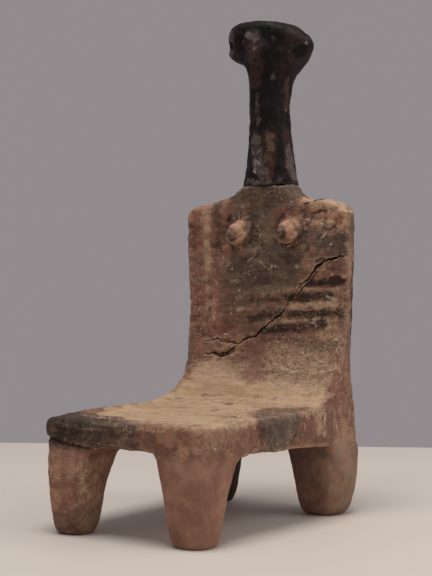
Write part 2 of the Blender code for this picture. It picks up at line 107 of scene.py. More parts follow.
lens = bpy.data.cameras.new("long lens")
lens.lens = LENS_MM
lens.sensor_width = SENSOR_MM
lens.clip_start = 10.0 * MM
lens.clip_end = 10.0
camera = bpy.data.objects.new("camera", lens)
camera.location = Vector(EYE) * MM
camera.rotation_euler = (math.radians(90.0 + LOOK_UP), 0.0, math.radians(LOOK_AZIMUTH))
bpy.context.scene.collection.objects.link(camera)
bpy.context.scene.camera = camera
print("camera", [round(value, 3) for value in camera.location])

# %% [markdown]
# ## The table
# The figurine stands on a pale table. A plain cream sheet does for it. Its far edge shows as the
# horizon, so the sheet ends 225 mm behind the figure, a little nearer on one side.

# %% Lay the floor
FLOOR_BEHIND = 225.0
FLOOR_BEFORE = 900.0
FLOOR_HALF_WIDTH = 800.0
FLOOR_SLANT = 0.107

ahead = Vector((-math.sin(math.radians(LOOK_AZIMUTH)), math.cos(math.radians(LOOK_AZIMUTH)), 0.0))
across = Vector((ahead.y, -ahead.x, 0.0))
floor_mesh = bpy.data.meshes.new("floor")
floor_corners = []
for side, reach in ((-1, -FLOOR_BEFORE), (1, -FLOOR_BEFORE), (1, FLOOR_BEHIND), (-1, FLOOR_BEHIND)):
    slanted = reach - FLOOR_SLANT * side * FLOOR_HALF_WIDTH
    floor_corners.append((across * side * FLOOR_HALF_WIDTH + ahead * slanted) * MM)
floor_mesh.from_pydata(floor_corners, [], [(0, 1, 2, 3)])
floor = bpy.data.objects.new("floor", floor_mesh)
bpy.context.scene.collection.objects.link(floor)
print("floor", round(2.0 * FLOOR_HALF_WIDTH), "mm wide")

# %% [markdown]
# ## The light
# The light comes mostly from overhead, through one broad area light a little to the picture's
# left, so the table's shadow lies soft and close to the feet. The grey world stands for the wall,
# and with the pale table it fills the upright faces with about half as much light.

# %% Hang the lights
LIGHT_AIM = (0.0, 0.0, 70.0)
ROOM_GREY = "#918b8e"
# Name, distances to the right, towards the camera and up, size in mm, power in watts and colour
LIGHTS = (
    ("overhead", -50.0, 150.0, 880.0, 420.0, 4.6, "#fffefb"),
    ("side", 520.0, 160.0, 420.0, 420.0, 1.0, "#fffdf8"),
)
for name, right, toward, up, size, power, colour in LIGHTS:
    lamp = bpy.data.lights.new(name, "AREA")
    lamp.size = size * MM
    lamp.energy = power
    lamp.color = linear(colour)[:3]
    holder = bpy.data.objects.new(name, lamp)
    holder.location = (across * right - ahead * toward + Vector((0.0, 0.0, up))) * MM
    aim = Vector(LIGHT_AIM) * MM - holder.location
    holder.rotation_euler = aim.to_track_quat("-Z", "Y").to_euler()
    bpy.context.scene.collection.objects.link(holder)

world = bpy.data.worlds.new("quiet room")
world.use_nodes = True
world.node_tree.nodes["Background"].inputs["Color"].default_value = linear(ROOM_GREY)
world.node_tree.nodes["Background"].inputs["Strength"].default_value = 1.0
bpy.context.scene.world = world
bpy.context.scene.view_settings.view_transform = "Standard"
print("lights:", [light[0] for light in LIGHTS])

# %% [markdown]
# ## One helper for shader nodes
# A procedural material is a chain of small nodes. This helper makes any of them. Its inputs are
# given in order, or by name, and each is a plain value or the socket of an earlier node. Words
# at the end set the node's switches. It gives back the socket to go on from.

# %% Add a node with its settings and links
METRE = 1.0


def add(tree, kind, inputs=(), output=0, **settings):
    """One shader node with its settings and inputs, as the output socket to go on from."""
    node = tree.nodes.new("ShaderNode" + kind)
    for key, value in settings.items():
        setattr(node, key, value)
    for key, value in inputs.items() if isinstance(inputs, dict) else enumerate(inputs):
        if isinstance(value, bpy.types.NodeSocket):
            tree.links.new(value, node.inputs[key])
        else:
            node.inputs[key].default_value = value
    return node.outputs[output]


def per_mm(size):
    """Texture scale that makes features about this many millimetres across."""
    return METRE / (size * MM)


def new_material(name):
    """Empty node material, its tree, its Principled shader and the object's own coordinates."""
    material = bpy.data.materials.new(name)
    material.use_nodes = True
    tree = material.node_tree
    place = add(tree, "TexCoord", output="Object")
    return material, tree, tree.nodes["Principled BSDF"], place


print("noise scale for 2 mm features:", per_mm(2.0))

# %% [markdown]
# ## The table top
# Satin emulsion on board: almost even, with a trace of roller texture 2 mm across. A roughness
# of 0.6 gives the eye a wide, faint sheen and no reflection of the figurine.

# %% Paint the floor
paint, tree, shader, place = new_material("cream emulsion paint")
roller = add(tree, "TexNoise", {"Vector": place, "Scale": per_mm(2.0), "Detail": 2.0})
dimples = add(tree, "Bump", {"Height": roller, "Strength": 0.15, "Distance": 0.1 * MM})
tree.links.new(dimples, shader.inputs["Normal"])
shader.inputs["Base Color"].default_value = linear("#dad1c7")
shader.inputs["Roughness"].default_value = 0.6
floor.data.materials.append(paint)
print("floor painted with", paint.name)

# %% [markdown]
# ## A finer skin for the clay
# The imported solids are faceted, with faces 2 to 4 mm across. Clay has no facets, so we copy each
# solid, wrap it in an even net of small squares with the voxel remesh and let the net relax.
# The body's squares are 0.63 mm wide, about two pixels of the picture, and the head's 0.34 mm,
# because its worn features are small.

# %% Wrap a solid in fine mesh
WELD = 0.01 * MM
RELAX_FACTOR = 0.5


def settle_modifiers(piece):
    """Turns a piece's modifiers into its mesh."""
    graph = bpy.context.evaluated_depsgraph_get()
    finished = bpy.data.meshes.new_from_object(piece.evaluated_get(graph), depsgraph=graph)
    piece.modifiers.clear()
    piece.data = finished


def fine_copy(node, name, square, relaxing):
    """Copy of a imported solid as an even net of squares, relaxed so that no facet shows."""
    mesh = frame["nodes"][node].data.copy()
    work = bmesh.new()
    work.from_mesh(mesh)
    bmesh.ops.remove_doubles(work, verts=work.verts, dist=WELD)
    work.to_mesh(mesh)
    work.free()
    piece = bpy.data.objects.new(name, mesh)
    bpy.context.scene.collection.objects.link(piece)
    wrap = piece.modifiers.new("even net", "REMESH")
    wrap.mode = "VOXEL"
    wrap.voxel_size = square * MM
    relax = piece.modifiers.new("wet fingers", "SMOOTH")
    relax.factor = RELAX_FACTOR
    relax.iterations = relaxing
    settle_modifiers(piece)
    print(name, len(piece.data.polygons), "faces")
    return piece


body = fine_copy("seated_body", "seated_body_clay", 0.63, 6)
head = fine_copy("head_and_neck", "head_and_neck_clay", 0.34, 7)

# %% [markdown]
# ## Reading and moving every point at once
# A mesh this fine has tens of thousands of points. numpy moves them all in one step. We work in
# millimetres, and push each point along its own normal. What belongs to the points, such as how
# much paint is left, is stored with them under a name, for the material to read.

# %% Read, write and store points


def read(piece):
    """Points in millimetres and normals of a piece, as rows of an array."""
    count = len(piece.data.vertices)
    points = np.empty(3 * count)
    normals = np.empty(3 * count)
    piece.data.vertices.foreach_get("co", points)
    piece.data.vertices.foreach_get("normal", normals)
    return points.reshape(-1, 3) / MM, normals.reshape(-1, 3)


def write(piece, points):
    """Sets the points of a piece, given in millimetres, never lower than the table."""
    points[:, 2] = np.maximum(points[:, 2], 0.0)
    piece.data.vertices.foreach_set("co", (points * MM).ravel())
    piece.data.update()


def store(piece, name, values):
    """Keeps one number with each point of a piece."""
    attribute = piece.data.attributes.new(name, "FLOAT", "POINT")
    attribute.data.foreach_set("value", values.astype(np.float32))


points, normals = read(body)
print("body", len(points), "points, from", points.min(axis=0).round(1), "to", points.max(axis=0).round(1))

# %% [markdown]
# ## Soft steps and soft noise
# Two small functions do most of the shaping. `climb` is a step with soft shoulders, for the edge
# of anything. `ripple` is smooth noise with bumps of a known size, for anything made by hand.

# %% Soft step and soft noise
SEED_STRIDE = 31.7


def climb(low, high, values):
    """Soft step: 0 below low, 1 above high, and the other way round where low is the larger."""
    share = np.clip((values - low) / (high - low), 0.0, 1.0)
    return share * share * (3.0 - 2.0 * share)


def ripple(points, size, seed, stretch=(1.0, 1.0, 1.0)):
    """Soft random unevenness, about -1 to 1, with bumps about `size` mm across."""
    places = points / np.array(stretch) / size + SEED_STRIDE * seed
    return 2.0 * np.array([noise.noise(place) for place in places.tolist()])


print("half way up a step:", climb(0.0, 1.0, np.array([0.5])))

# %% [markdown]
# ## Bulges and hollows
# Bulges are pushed out and chipped, and hollows pushed in. Later, bulges get a painted highlight
# and hollows painted shade. To know which is which we smooth a copy of the surface: where a point
# stands out from its smoothed place it is a bulge. The mesh's edges tell each point its neighbours,
# and a few rounds of averaging do the smoothing.

# %% How far each point stands out
EDGE_ROUNDS = 14


def standing_out(piece, points, normals, rounds):
    """Height in mm of each point over its smoothed surroundings, negative in hollows."""
    ends = np.empty(2 * len(piece.data.edges), dtype=np.int64)
    piece.data.edges.foreach_get("vertices", ends)
    first, second = ends.reshape(-1, 2).T
    near = np.concatenate((first, second))
    far = np.concatenate((second, first))
    count = len(points)
    neighbours = np.maximum(np.bincount(near, minlength=count), 1)
    smooth = points.copy()
    for _ in range(rounds):
        sums = [np.bincount(near, weights=smooth[far, axis], minlength=count) for axis in range(3)]
        smooth = np.stack(sums, axis=1) / neighbours[:, None]
    # Height in mm of each point over its smoothed surroundings, negative where it sinks below them.
    return np.einsum("ij,ij->i", points - smooth, normals)


edges_out = standing_out(body, points, normals, EDGE_ROUNDS)
print("stands out by", edges_out.min().round(2), "to", edges_out.max().round(2), "mm")

# %% [markdown]
# ## Measuring on a face
# Paint and damage belong to a face of the figurine: the backrest, the seat, its front edge or its
# left side. On each we draw with two of the three coordinates. `far_from` measures to a drawn
# line, `depth_in` to a closed outline and `gap_to` to a single spot, for all points together.

# %% Lines and outlines drawn in millimetres


def far_from(route, spots):
    """Distance in mm from each spot to a route of straight pieces."""
    best = np.full(len(spots), np.inf)
    for start, end in zip(route, route[1:]):
        start = np.array(start, dtype=float)
        run = np.array(end, dtype=float) - start
        along = np.clip((spots - start) @ run / (run @ run), 0.0, 1.0)
        best = np.minimum(best, np.linalg.norm(spots - start - along[:, None] * run, axis=1))
    return best


def depth_in(outline, spots):
    """Distance in mm to a closed outline, positive inside it and negative outside."""
    away = far_from([*outline, outline[0]], spots)
    within = np.zeros(len(spots), dtype=bool)
    for (x0, y0), (x1, y1) in zip(outline, [*outline[1:], outline[0]]):
        if y0 == y1:
            continue
        crosses = (y0 > spots[:, 1]) != (y1 > spots[:, 1])
        within ^= crosses & (spots[:, 0] < x0 + (spots[:, 1] - y0) * (x1 - x0) / (y1 - y0))
    return np.where(within, away, -away)


def gap_to(centre, points):
    """Distance in mm from each point to one spot in space."""
    return np.linalg.norm(points - np.array(centre), axis=1)


print("middle of a square is", depth_in(((0, 0), (2, 0), (2, 2), (0, 2)), np.array([[1.0, 1.0]])), "mm deep")

# %% The drawing faces of the body


def faces_of(points, normals):
    """For each face of the body, its two drawing coordinates and how much each point belongs."""
    x, y, z = points.T
    forward = climb(0.0, 0.3, -normals[:, 1] + 0.6 * normals[:, 2])
    return {
        "back": (points[:, (0, 2)], forward * climb(37.5, 40.0, z)),
        "corner": (points[:, (0, 2)], forward * climb(31.0, 33.0, y) * climb(37.5, 40.0, z)),
        "front": (points[:, (0, 2)], climb(0.1, 0.45, -normals[:, 1]) * climb(36.0, 40.0, -y)),
        "seat": (points[:, (0, 1)], climb(0.35, 0.7, normals[:, 2]) * climb(50.0, 44.0, z)),
        "left": (points[:, (1, 2)], climb(0.35, 0.7, normals[:, 0])),
    }


faces = faces_of(points, normals)
on_faces = {name: int((weight > 0.5).sum()) for name, (spots, weight) in faces.items()}
print("points on each face:", on_faces)

# %% [markdown]
# ## Shaping the body
# Hand-built clay is never even. Broad swells come from squeezing, finer ones from the fingers,
# and the seat keeps low ridges where it was wiped from side to side. The legs were rubbed smooth
# and stay so. Each change is a small number of mm along the normal, and all are added up first.

# %% Swells, grit and wiping ridges
SHARPEN_LIMIT = 0.8
RIM_LIMIT = 0.9
SWELL = 0.24
LUMP = 0.11
ROUGH = 0.13
FINE_ROUGH = 0.091
SEAT_RIDGE = 0.104
BACK_RIDGE = 0.04
LEG_TOP = 27.0

px, py, pz = points.T
seat_spots, seat_weight = faces["seat"]
back_spots, back_weight = faces["back"]
above_legs = climb(LEG_TOP - 3.0, LEG_TOP + 2.0, pz)
right_front_leg = climb(-8.0, -12.0, px) * climb(-28.0, -36.0, py)
rough = above_legs * (0.55 + 0.45 * back_weight) * (1.0 - 0.7 * seat_weight)
rough = np.maximum(rough, 0.6 * right_front_leg)
push = np.clip(edges_out, -SHARPEN_LIMIT, SHARPEN_LIMIT)
push += climb(-34.0, -40.0, py) * climb(26.5, 28.5, pz) * np.clip(edges_out, 0.0, RIM_LIMIT)
push += SWELL * ripple(points, 15.0, 1) + LUMP * ripple(points, 4.6, 2)
push += ROUGH * (0.25 + 0.75 * rough) * ripple(points, 2.0, 3)
push += FINE_ROUGH * rough * ripple(points, 1.3, 9)
push += seat_weight * SEAT_RIDGE * ripple(points, 3.4, 4, (8.0, 1.0, 1.0))
push += back_weight * BACK_RIDGE * ripple(points, 1.9, 5, (6.0, 1.0, 1.0))
print("push from", push.min().round(2), "to", push.max().round(2), "mm")

# %% [markdown]
# ## What the clay has lost
# Long burial and handling took small flat bites from the rims and thin plates off the left
# shoulder, crumbled the top edge of the seat's front and left pits everywhere. Plates break with
# stepped edges, so their depth follows two steps through soft noise.

# %% Chips, plates, crumbs and pits
CHIP_DEPTH = 0.5
SHOULDER_LOSS = ((13.5, 108.5), (13.5, 99.5), (19.0, 97.5), (24.0, 95.7), (33.5, 95.5), (36.0, 108.0))
CRUMBLE = ((-22.0, -35.8, 36.0), (-10.4, -40.4, 36.0), (2.4, -44.8, 36.0), (14.0, -46.6, 35.8))
PIT_COUNT = 260
PIT_SEED = 27
PIT_RADII = (0.45, 1.0)
PIT_SLOPE = 0.34

rims = climb(0.3, 0.6, edges_out) * above_legs
push -= CHIP_DEPTH * rims * climb(0.2, 0.35, ripple(points, 3.1, 10))

plates = ripple(points, 4.2, 6) + 0.5 * ripple(points, 1.6, 7)
flaked = climb(-1.2, 1.2, depth_in(SHOULDER_LOSS, back_spots)) * back_weight
push -= flaked * (0.25 + 0.45 * climb(-0.05, 0.1, plates) + 0.3 * climb(0.4, 0.5, plates))

crumbs = climb(2.4, 0.6, far_from(CRUMBLE, points))
push -= crumbs * (0.3 + 0.6 * climb(-0.1, 0.25, ripple(points, 2.2, 8)))

rng = np.random.default_rng(PIT_SEED)
pit_centres = points[rng.integers(0, len(points), PIT_COUNT)]
pit_radii = rng.uniform(*PIT_RADII, PIT_COUNT)
pits = np.zeros(len(points))
for centre, radius in zip(pit_centres, pit_radii):
    pits = np.maximum(pits, PIT_SLOPE * radius * climb(1.0, 0.35, gap_to(centre, points) / radius))
push -= pits * (0.35 + 0.65 * rough)
print("push from", push.min().round(2), "to", push.max().round(2), "mm")

# %% [markdown]
# ## Marks that have a place
# Some damage can be pointed at: the seam across the top of the right front leg, where the slab
# of the seat overhangs, the patch of darker filler on the left side, and pits in the seat.

# %% Seam, filler patch and seat pits
LEG_SEAM = ((-27.6, 29.9), (-22.3, 29.0), (-18.2, 28.4), (-15.9, 28.2), (-13.0, 27.6), (-6.0, 27.9))
SLAB_OVERHANG = 0.45
SEAM_DEPTH = 0.6
FILLER = (
    (-17.5, 37.0), (-18.0, 33.0), (-17.0, 27.0), (-10.0, 25.5), (-2.0, 26.6), (1.2, 30.0), (4.2, 34.0),
    (4.4, 37.0),
)
FILLER_PROUD = 0.4
FILLER_GROOVE = 0.2
# Place of each pit on the seat and its reach in mm
SEAT_PITS = (
    (8.3, -9.9, 1.9), (16.8, -12.9, 2.2), (26.0, -17.2, 2.0), (20.8, -1.6, 2.2), (-2.1, 4.7, 1.6),
    (18.3, -16.2, 1.5), (21.3, 5.5, 1.7), (18.9, 1.5, 1.6), (12.4, -7.0, 1.3), (23.0, -11.0, 1.6),
)
SEAT_PIT_DEPTH = 0.55

spots, weight = faces["front"]
at_seam = weight * climb(-5.0, -12.0, spots[:, 0])
above = spots[:, 1] - np.interp(spots[:, 0], [x for x, z in LEG_SEAM], [z for x, z in LEG_SEAM])
push += at_seam * SLAB_OVERHANG * climb(-0.3, 0.3, above) * climb(9.0, 5.0, above)
push -= at_seam * SEAM_DEPTH * climb(0.8, 0.1, np.abs(above + 0.25))

spots, weight = faces["left"]
filler_depth = depth_in(FILLER, spots)
push += weight * FILLER_PROUD * climb(-0.6, 0.9, filler_depth)
groove = climb(1.0, 0.2, np.abs(filler_depth + 0.6)) * climb(0.0, 0.3, ripple(points, 5.0, 16))
push -= weight * FILLER_GROOVE * groove

ragged = 0.5 * ripple(points, 1.6, 13)
for x, y, reach in SEAT_PITS:
    away = np.hypot(0.6 * (seat_spots[:, 0] - x), seat_spots[:, 1] - y) / reach
    push -= seat_weight * SEAT_PIT_DEPTH * climb(1.0, 0.3, away + ragged)
print("filler patch covers", int((weight * (filler_depth > 0.0) > 0.5).sum()), "points")

# %% [markdown]
# ## The breasts
# Each breast is a pellet on a flattened lump of clay, pressed on so that the lump's rim still
# shows. The pellets are drawn in a little first. Then each lump rises from the backrest with a
# groove round it, and a small nipple rises on each pellet.

# %% Lumps, pellets and nipples
BREAST_LUMPS = (((-8.8, 97.0), (-7.8, 92.8), 5.2), ((10.8, 97.0), (10.2, 92.2), 5.4))
LUMP_PROUD = 0.8
LUMP_GROOVE = 0.25
PELLET_SHRINK = 1.15
NIPPLE_PROUD = 0.8

behind_pellets = climb(32.0, 33.4, py)
pellet = climb(33.0, 31.6, py) * climb(88.0, 90.0, pz)
push -= back_weight * pellet * PELLET_SHRINK
for top, foot, reach in BREAST_LUMPS:
    inside = reach - far_from((top, foot), back_spots) + 0.7 * ripple(points, 2.6, 17)
    push += back_weight * behind_pellets * LUMP_PROUD * climb(-0.8, 2.2, inside)
    push -= back_weight * behind_pellets * LUMP_GROOVE * climb(0.9, 0.1, np.abs(inside + 0.9))
for centre in ((-12.2, 28.3, 95.3), (8.4, 28.2, 95.6)):
    push += NIPPLE_PROUD * climb(2.8, 1.2, gap_to(centre, points))
write(body, points + push[:, None] * normals)
print("body shaped, push from", push.min().round(2), "to", push.max().round(2), "mm")

# %% [markdown]
# ## The crack
# One crack runs from the left edge of the backrest down to the right and forks near its end.
# A groove as narrow as this falls between the points of the net, so we cut it with a Boolean:
# a jagged blade, open outside the clay and closed to an edge inside it.

# %% Routes of the crack
# Routes in mm across and up. A gape pairs a share of the length with a share of the width.
MAIN_CRACK = (
    (32.8, 87.2), (31.3, 87.0), (27.8, 86.8), (24.4, 86.6), (20.9, 83.6), (17.2, 79.9), (13.7, 77.0),
    (10.0, 72.9), (6.8, 68.3), (3.0, 65.5), (0.0, 63.7), (-4.2, 59.8), (-8.7, 58.8), (-11.4, 56.7),
)
UPPER_FORK = ((-10.6, 57.6), (-13.5, 57.3), (-16.9, 58.3), (-21.8, 58.3), (-26.6, 57.4))
LOWER_FORK = ((-10.9, 57.2), (-12.2, 55.4), (-15.4, 53.9), (-18.6, 52.8), (-22.6, 54.1), (-26.0, 53.1))
MAIN_GAPE = ((0.0, 1.4), (0.12, 1.2), (0.30, 1.0), (0.38, 0.5), (0.58, 0.45), (0.66, 0.8), (1.0, 1.0))
FORK_GAPE = ((0.0, 1.0), (0.5, 0.9), (1.0, 0.7))
print("crack of", len(MAIN_CRACK), "bends with two forks")

# %% A jagged line along a route
BLADE_STEP = 0.8
KNOCK = 0.28
STRAY = 0.6
BEND_STEPS = 4
CALM_STEPS = 5


def jagged(route, seed):
    """Even steps along a route, each knocked to the side, with its directions ahead and sideways."""
    steps = []
    for (x0, z0), (x1, z1) in zip(route, route[1:]):
        count = max(1, round(math.hypot(x1 - x0, z1 - z0) / BLADE_STEP))
        steps += [(x0 + (x1 - x0) * i / count, z0 + (z1 - z0) * i / count) for i in range(count)]
    steps.append(route[-1])
    line = np.array(steps)
    padded = np.concatenate((line[:1], line[:1], line, line[-1:], line[-1:]))
    calm = sum(padded[i:i + len(line)] for i in range(CALM_STEPS)) / CALM_STEPS
    ahead = np.gradient(calm, axis=0)
    ahead /= np.linalg.norm(ahead, axis=1)[:, None]
    sideways = np.stack((-ahead[:, 1], ahead[:, 0]), axis=1)
    rng = np.random.default_rng(seed)
    bends = np.arange(0, len(line) + BEND_STEPS, BEND_STEPS)
    strays = np.interp(np.arange(len(line)), bends, rng.uniform(-STRAY, STRAY, len(bends)))
    knocks = strays + rng.uniform(-KNOCK, KNOCK, len(line))
    return calm + knocks[:, None] * sideways, ahead, sideways


print("jagged lines with a knock every", BLADE_STEP, "mm")

# %% [markdown]
# ## The blades
# A blade whose two lips cross themselves would spoil the Boolean. Where a lip runs backwards at a
# sharp bend, the blade is made narrower there, a few times over, until both lips run ahead.

# %% Make the jagged blades
BLADE_FRONT = 26.0
BLADE_EDGE = 37.2
END_WIDTH = 0.3
END_SLOPE = 5.0
BEAT = 0.31
NARROWING = 0.7
NARROWING_ROUNDS = 8
LEAST_AHEAD = 0.2 * BLADE_STEP


def half_widths(line, ahead, sideways, width, seed, gape):
    """Half the blade's width at each step, where neither lip may run backwards."""
    share = np.arange(len(line)) / (len(line) - 1)
    half = 0.5 * width * np.minimum(1.0, END_WIDTH + END_SLOPE * np.minimum(share, 1.0 - share))
    half *= 0.5 + 0.7 * np.abs(np.sin(BEAT * np.arange(len(line)) + seed))
    half *= np.interp(share, [at for at, wide in gape], [wide for at, wide in gape])
    for _ in range(NARROWING_ROUNDS):
        for side in (-1.0, 1.0):
            lip = line + side * half[:, None] * sideways
            stuck = np.einsum("ij,ij->i", np.diff(lip, axis=0), ahead[1:]) < LEAST_AHEAD
            half[1:][stuck] *= NARROWING
            half[:-1][stuck] *= NARROWING
    return half


def blade(name, route, width, seed, gape):
    """Wedge along a route: wide before the clay, closed to an edge behind its surface."""
    line, ahead, sideways = jagged(route, seed)
    half = half_widths(line, ahead, sideways, width, seed, gape)
    corners = []
    for (x, z), (side_x, side_z), reach in zip(line, sideways, half):
        corners += [(x - side_x * reach, BLADE_FRONT, z - side_z * reach)]
        corners += [(x + side_x * reach, BLADE_FRONT, z + side_z * reach)]
        corners += [(x, BLADE_EDGE, z)]
    last = len(corners)
    quads = [(2, 1, 0), (last - 3, last - 2, last - 1)]
    for low in range(0, last - 3, 3):
        quads += [(low, low + 1, low + 4, low + 3), (low + 1, low + 2, low + 5, low + 4)]
        quads += [(low + 2, low, low + 3, low + 5)]
    mesh = bpy.data.meshes.new(name)
    mesh.from_pydata([Vector(corner) * MM for corner in corners], [], quads)
    work = bmesh.new()
    work.from_mesh(mesh)
    bmesh.ops.triangulate(work, faces=work.faces)
    bmesh.ops.recalc_face_normals(work, faces=work.faces)
    work.to_mesh(mesh)
    work.free()
    tool = bpy.data.objects.new(name, mesh)
    bpy.context.scene.collection.objects.link(tool)
    return tool


blades = [
    blade("crack_blade", MAIN_CRACK, 2.6, 3, MAIN_GAPE),
    blade("upper_fork_blade", UPPER_FORK, 1.3, 4, FORK_GAPE),
    blade("lower_fork_blade", LOWER_FORK, 1.0, 6, FORK_GAPE),
]
print("blades:", [tool.name for tool in blades])

# %% [markdown]
# ## Painted shade and dust inside the crack
# The broken clay in the crack gets a dark colour that paints the shade inside it, with its dust.
# It is a rough earthenware break, darker than the skin, and a roughness of 0.95 gives the eye no
# shine at all.

# %% Finish of the broken clay


def set_stops(tones, stops):
    """Gives a colour ramp its stops, each a position and a hex colour, from low to high."""
    ramp = tones.node.color_ramp
    for position, _ in stops[1:-1]:
        ramp.elements.new(position)
    for element, (position, code) in zip(ramp.elements, stops):
        element.position = position
        element.color = linear(code)


crack_shade_material, tree, shader, place = new_material("dusty broken earthenware with painted shade")
crumb = add(tree, "TexNoise", {"Vector": place, "Scale": per_mm(0.8), "Detail": 4.0})
# These dark tones paint the shade inside the crack, with dust
dust_and_shade = add(tree, "ValToRGB", (crumb,))
set_stops(dust_and_shade, ((0.0, "#1d1411"), (1.0, "#4a3226")))
tree.links.new(dust_and_shade, shader.inputs["Base Color"])
shader.inputs["Roughness"].default_value = 0.95
print("made", crack_shade_material.name)

# %% [markdown]
# ## Cutting the crack
# The blades carry the dark material, and the exact Boolean hands it on to the faces that they
# cut. Only the skin is shaded smooth, so the broken walls keep their sharp facets.

# %% Cut with the blades
SKIN_SLOT = 0
CRACK_SLOT = 1

clay_material, clay_tree, clay_shader, clay_place = new_material("burnished earthenware with worn paint")
body.data.materials.clear()
body.data.materials.append(clay_material)
body.data.materials.append(crack_shade_material)
for tool in blades:
    tool.data.materials.append(clay_material)
    tool.data.materials.append(crack_shade_material)
    for polygon in tool.data.polygons:
        polygon.material_index = CRACK_SLOT
    cut = body.modifiers.new(tool.name, "BOOLEAN")
    cut.operation = "DIFFERENCE"
    cut.solver = "EXACT"
    cut.object = tool
settle_modifiers(body)
for tool in blades:
    bpy.data.objects.remove(tool)
for polygon in body.data.polygons:
    polygon.use_smooth = polygon.material_index == SKIN_SLOT
print("body with crack:", len(body.data.polygons), "faces")

# %% [markdown]
# ## Where the paint still is
# The potter brushed a cream slip over the clay and then painted stripes and bands in iron red
# and brown-black. Little of it is whole. Each brush stroke below is a line in millimetres on its
# face, with its width, and each wash a closed outline with a soft edge. A strength goes with
# each: 1 is whole paint, and less lets the wear show through. Of two strokes of one layer on the
# same point the stronger counts, so their order doesn't matter.

# %% Brushes for the body
STROKE_EDGE = 1.1
WASH_WOBBLE = 1.3
LAYERS = ("slip", "red", "dark", "soot", "bare")

points, normals = read(body)
px, py, pz = points.T
faces = faces_of(points, normals)
wobble = 0.8 * ripple(points, 3.4, 11) + 0.4 * ripple(points, 1.3, 12)
layers = {name: np.zeros(len(points)) for name in LAYERS}


def lay(layer, strength, covered):
    """Adds paint to a layer, where the stronger of the old and the new paint counts."""
    layers[layer] = np.maximum(layers[layer], strength * covered)


def brush(face, layer, width, strength, route):
    """A stroke of one layer, `width` mm wide, along a route on a face."""
    spots, weight = faces[face]
    inside = 0.5 * width - far_from(route, spots) + wobble
    lay(layer, strength, weight * climb(-STROKE_EDGE, STROKE_EDGE, inside))


def wash(face, layer, edge, strength, outline):
    """A patch of one layer inside an outline on a face, its edge `edge` mm soft to each side."""
    spots, weight = faces[face]
    inside = depth_in(outline, spots) + WASH_WOBBLE * wobble
    lay(layer, strength, weight * climb(-edge, edge, inside))


def paint_face(face, strokes, patches):
    """All the strokes and patches of one face."""
    for stroke in strokes:
        brush(face, *stroke)
    for patch in patches:
        wash(face, *patch)
    print(face, "painted:", len(strokes), "strokes and", len(patches), "patches")


print("brushes ready for", ", ".join(LAYERS))

# %% [markdown]
# ## The backrest
# A red stripe runs down its right edge with a cream and a dark one beside it. Dark paint falls
# from the neck between the breasts to a broad patch, and dark bands with cream between them cross
# the right half, fading towards the middle. Strokes are in mm across and up.

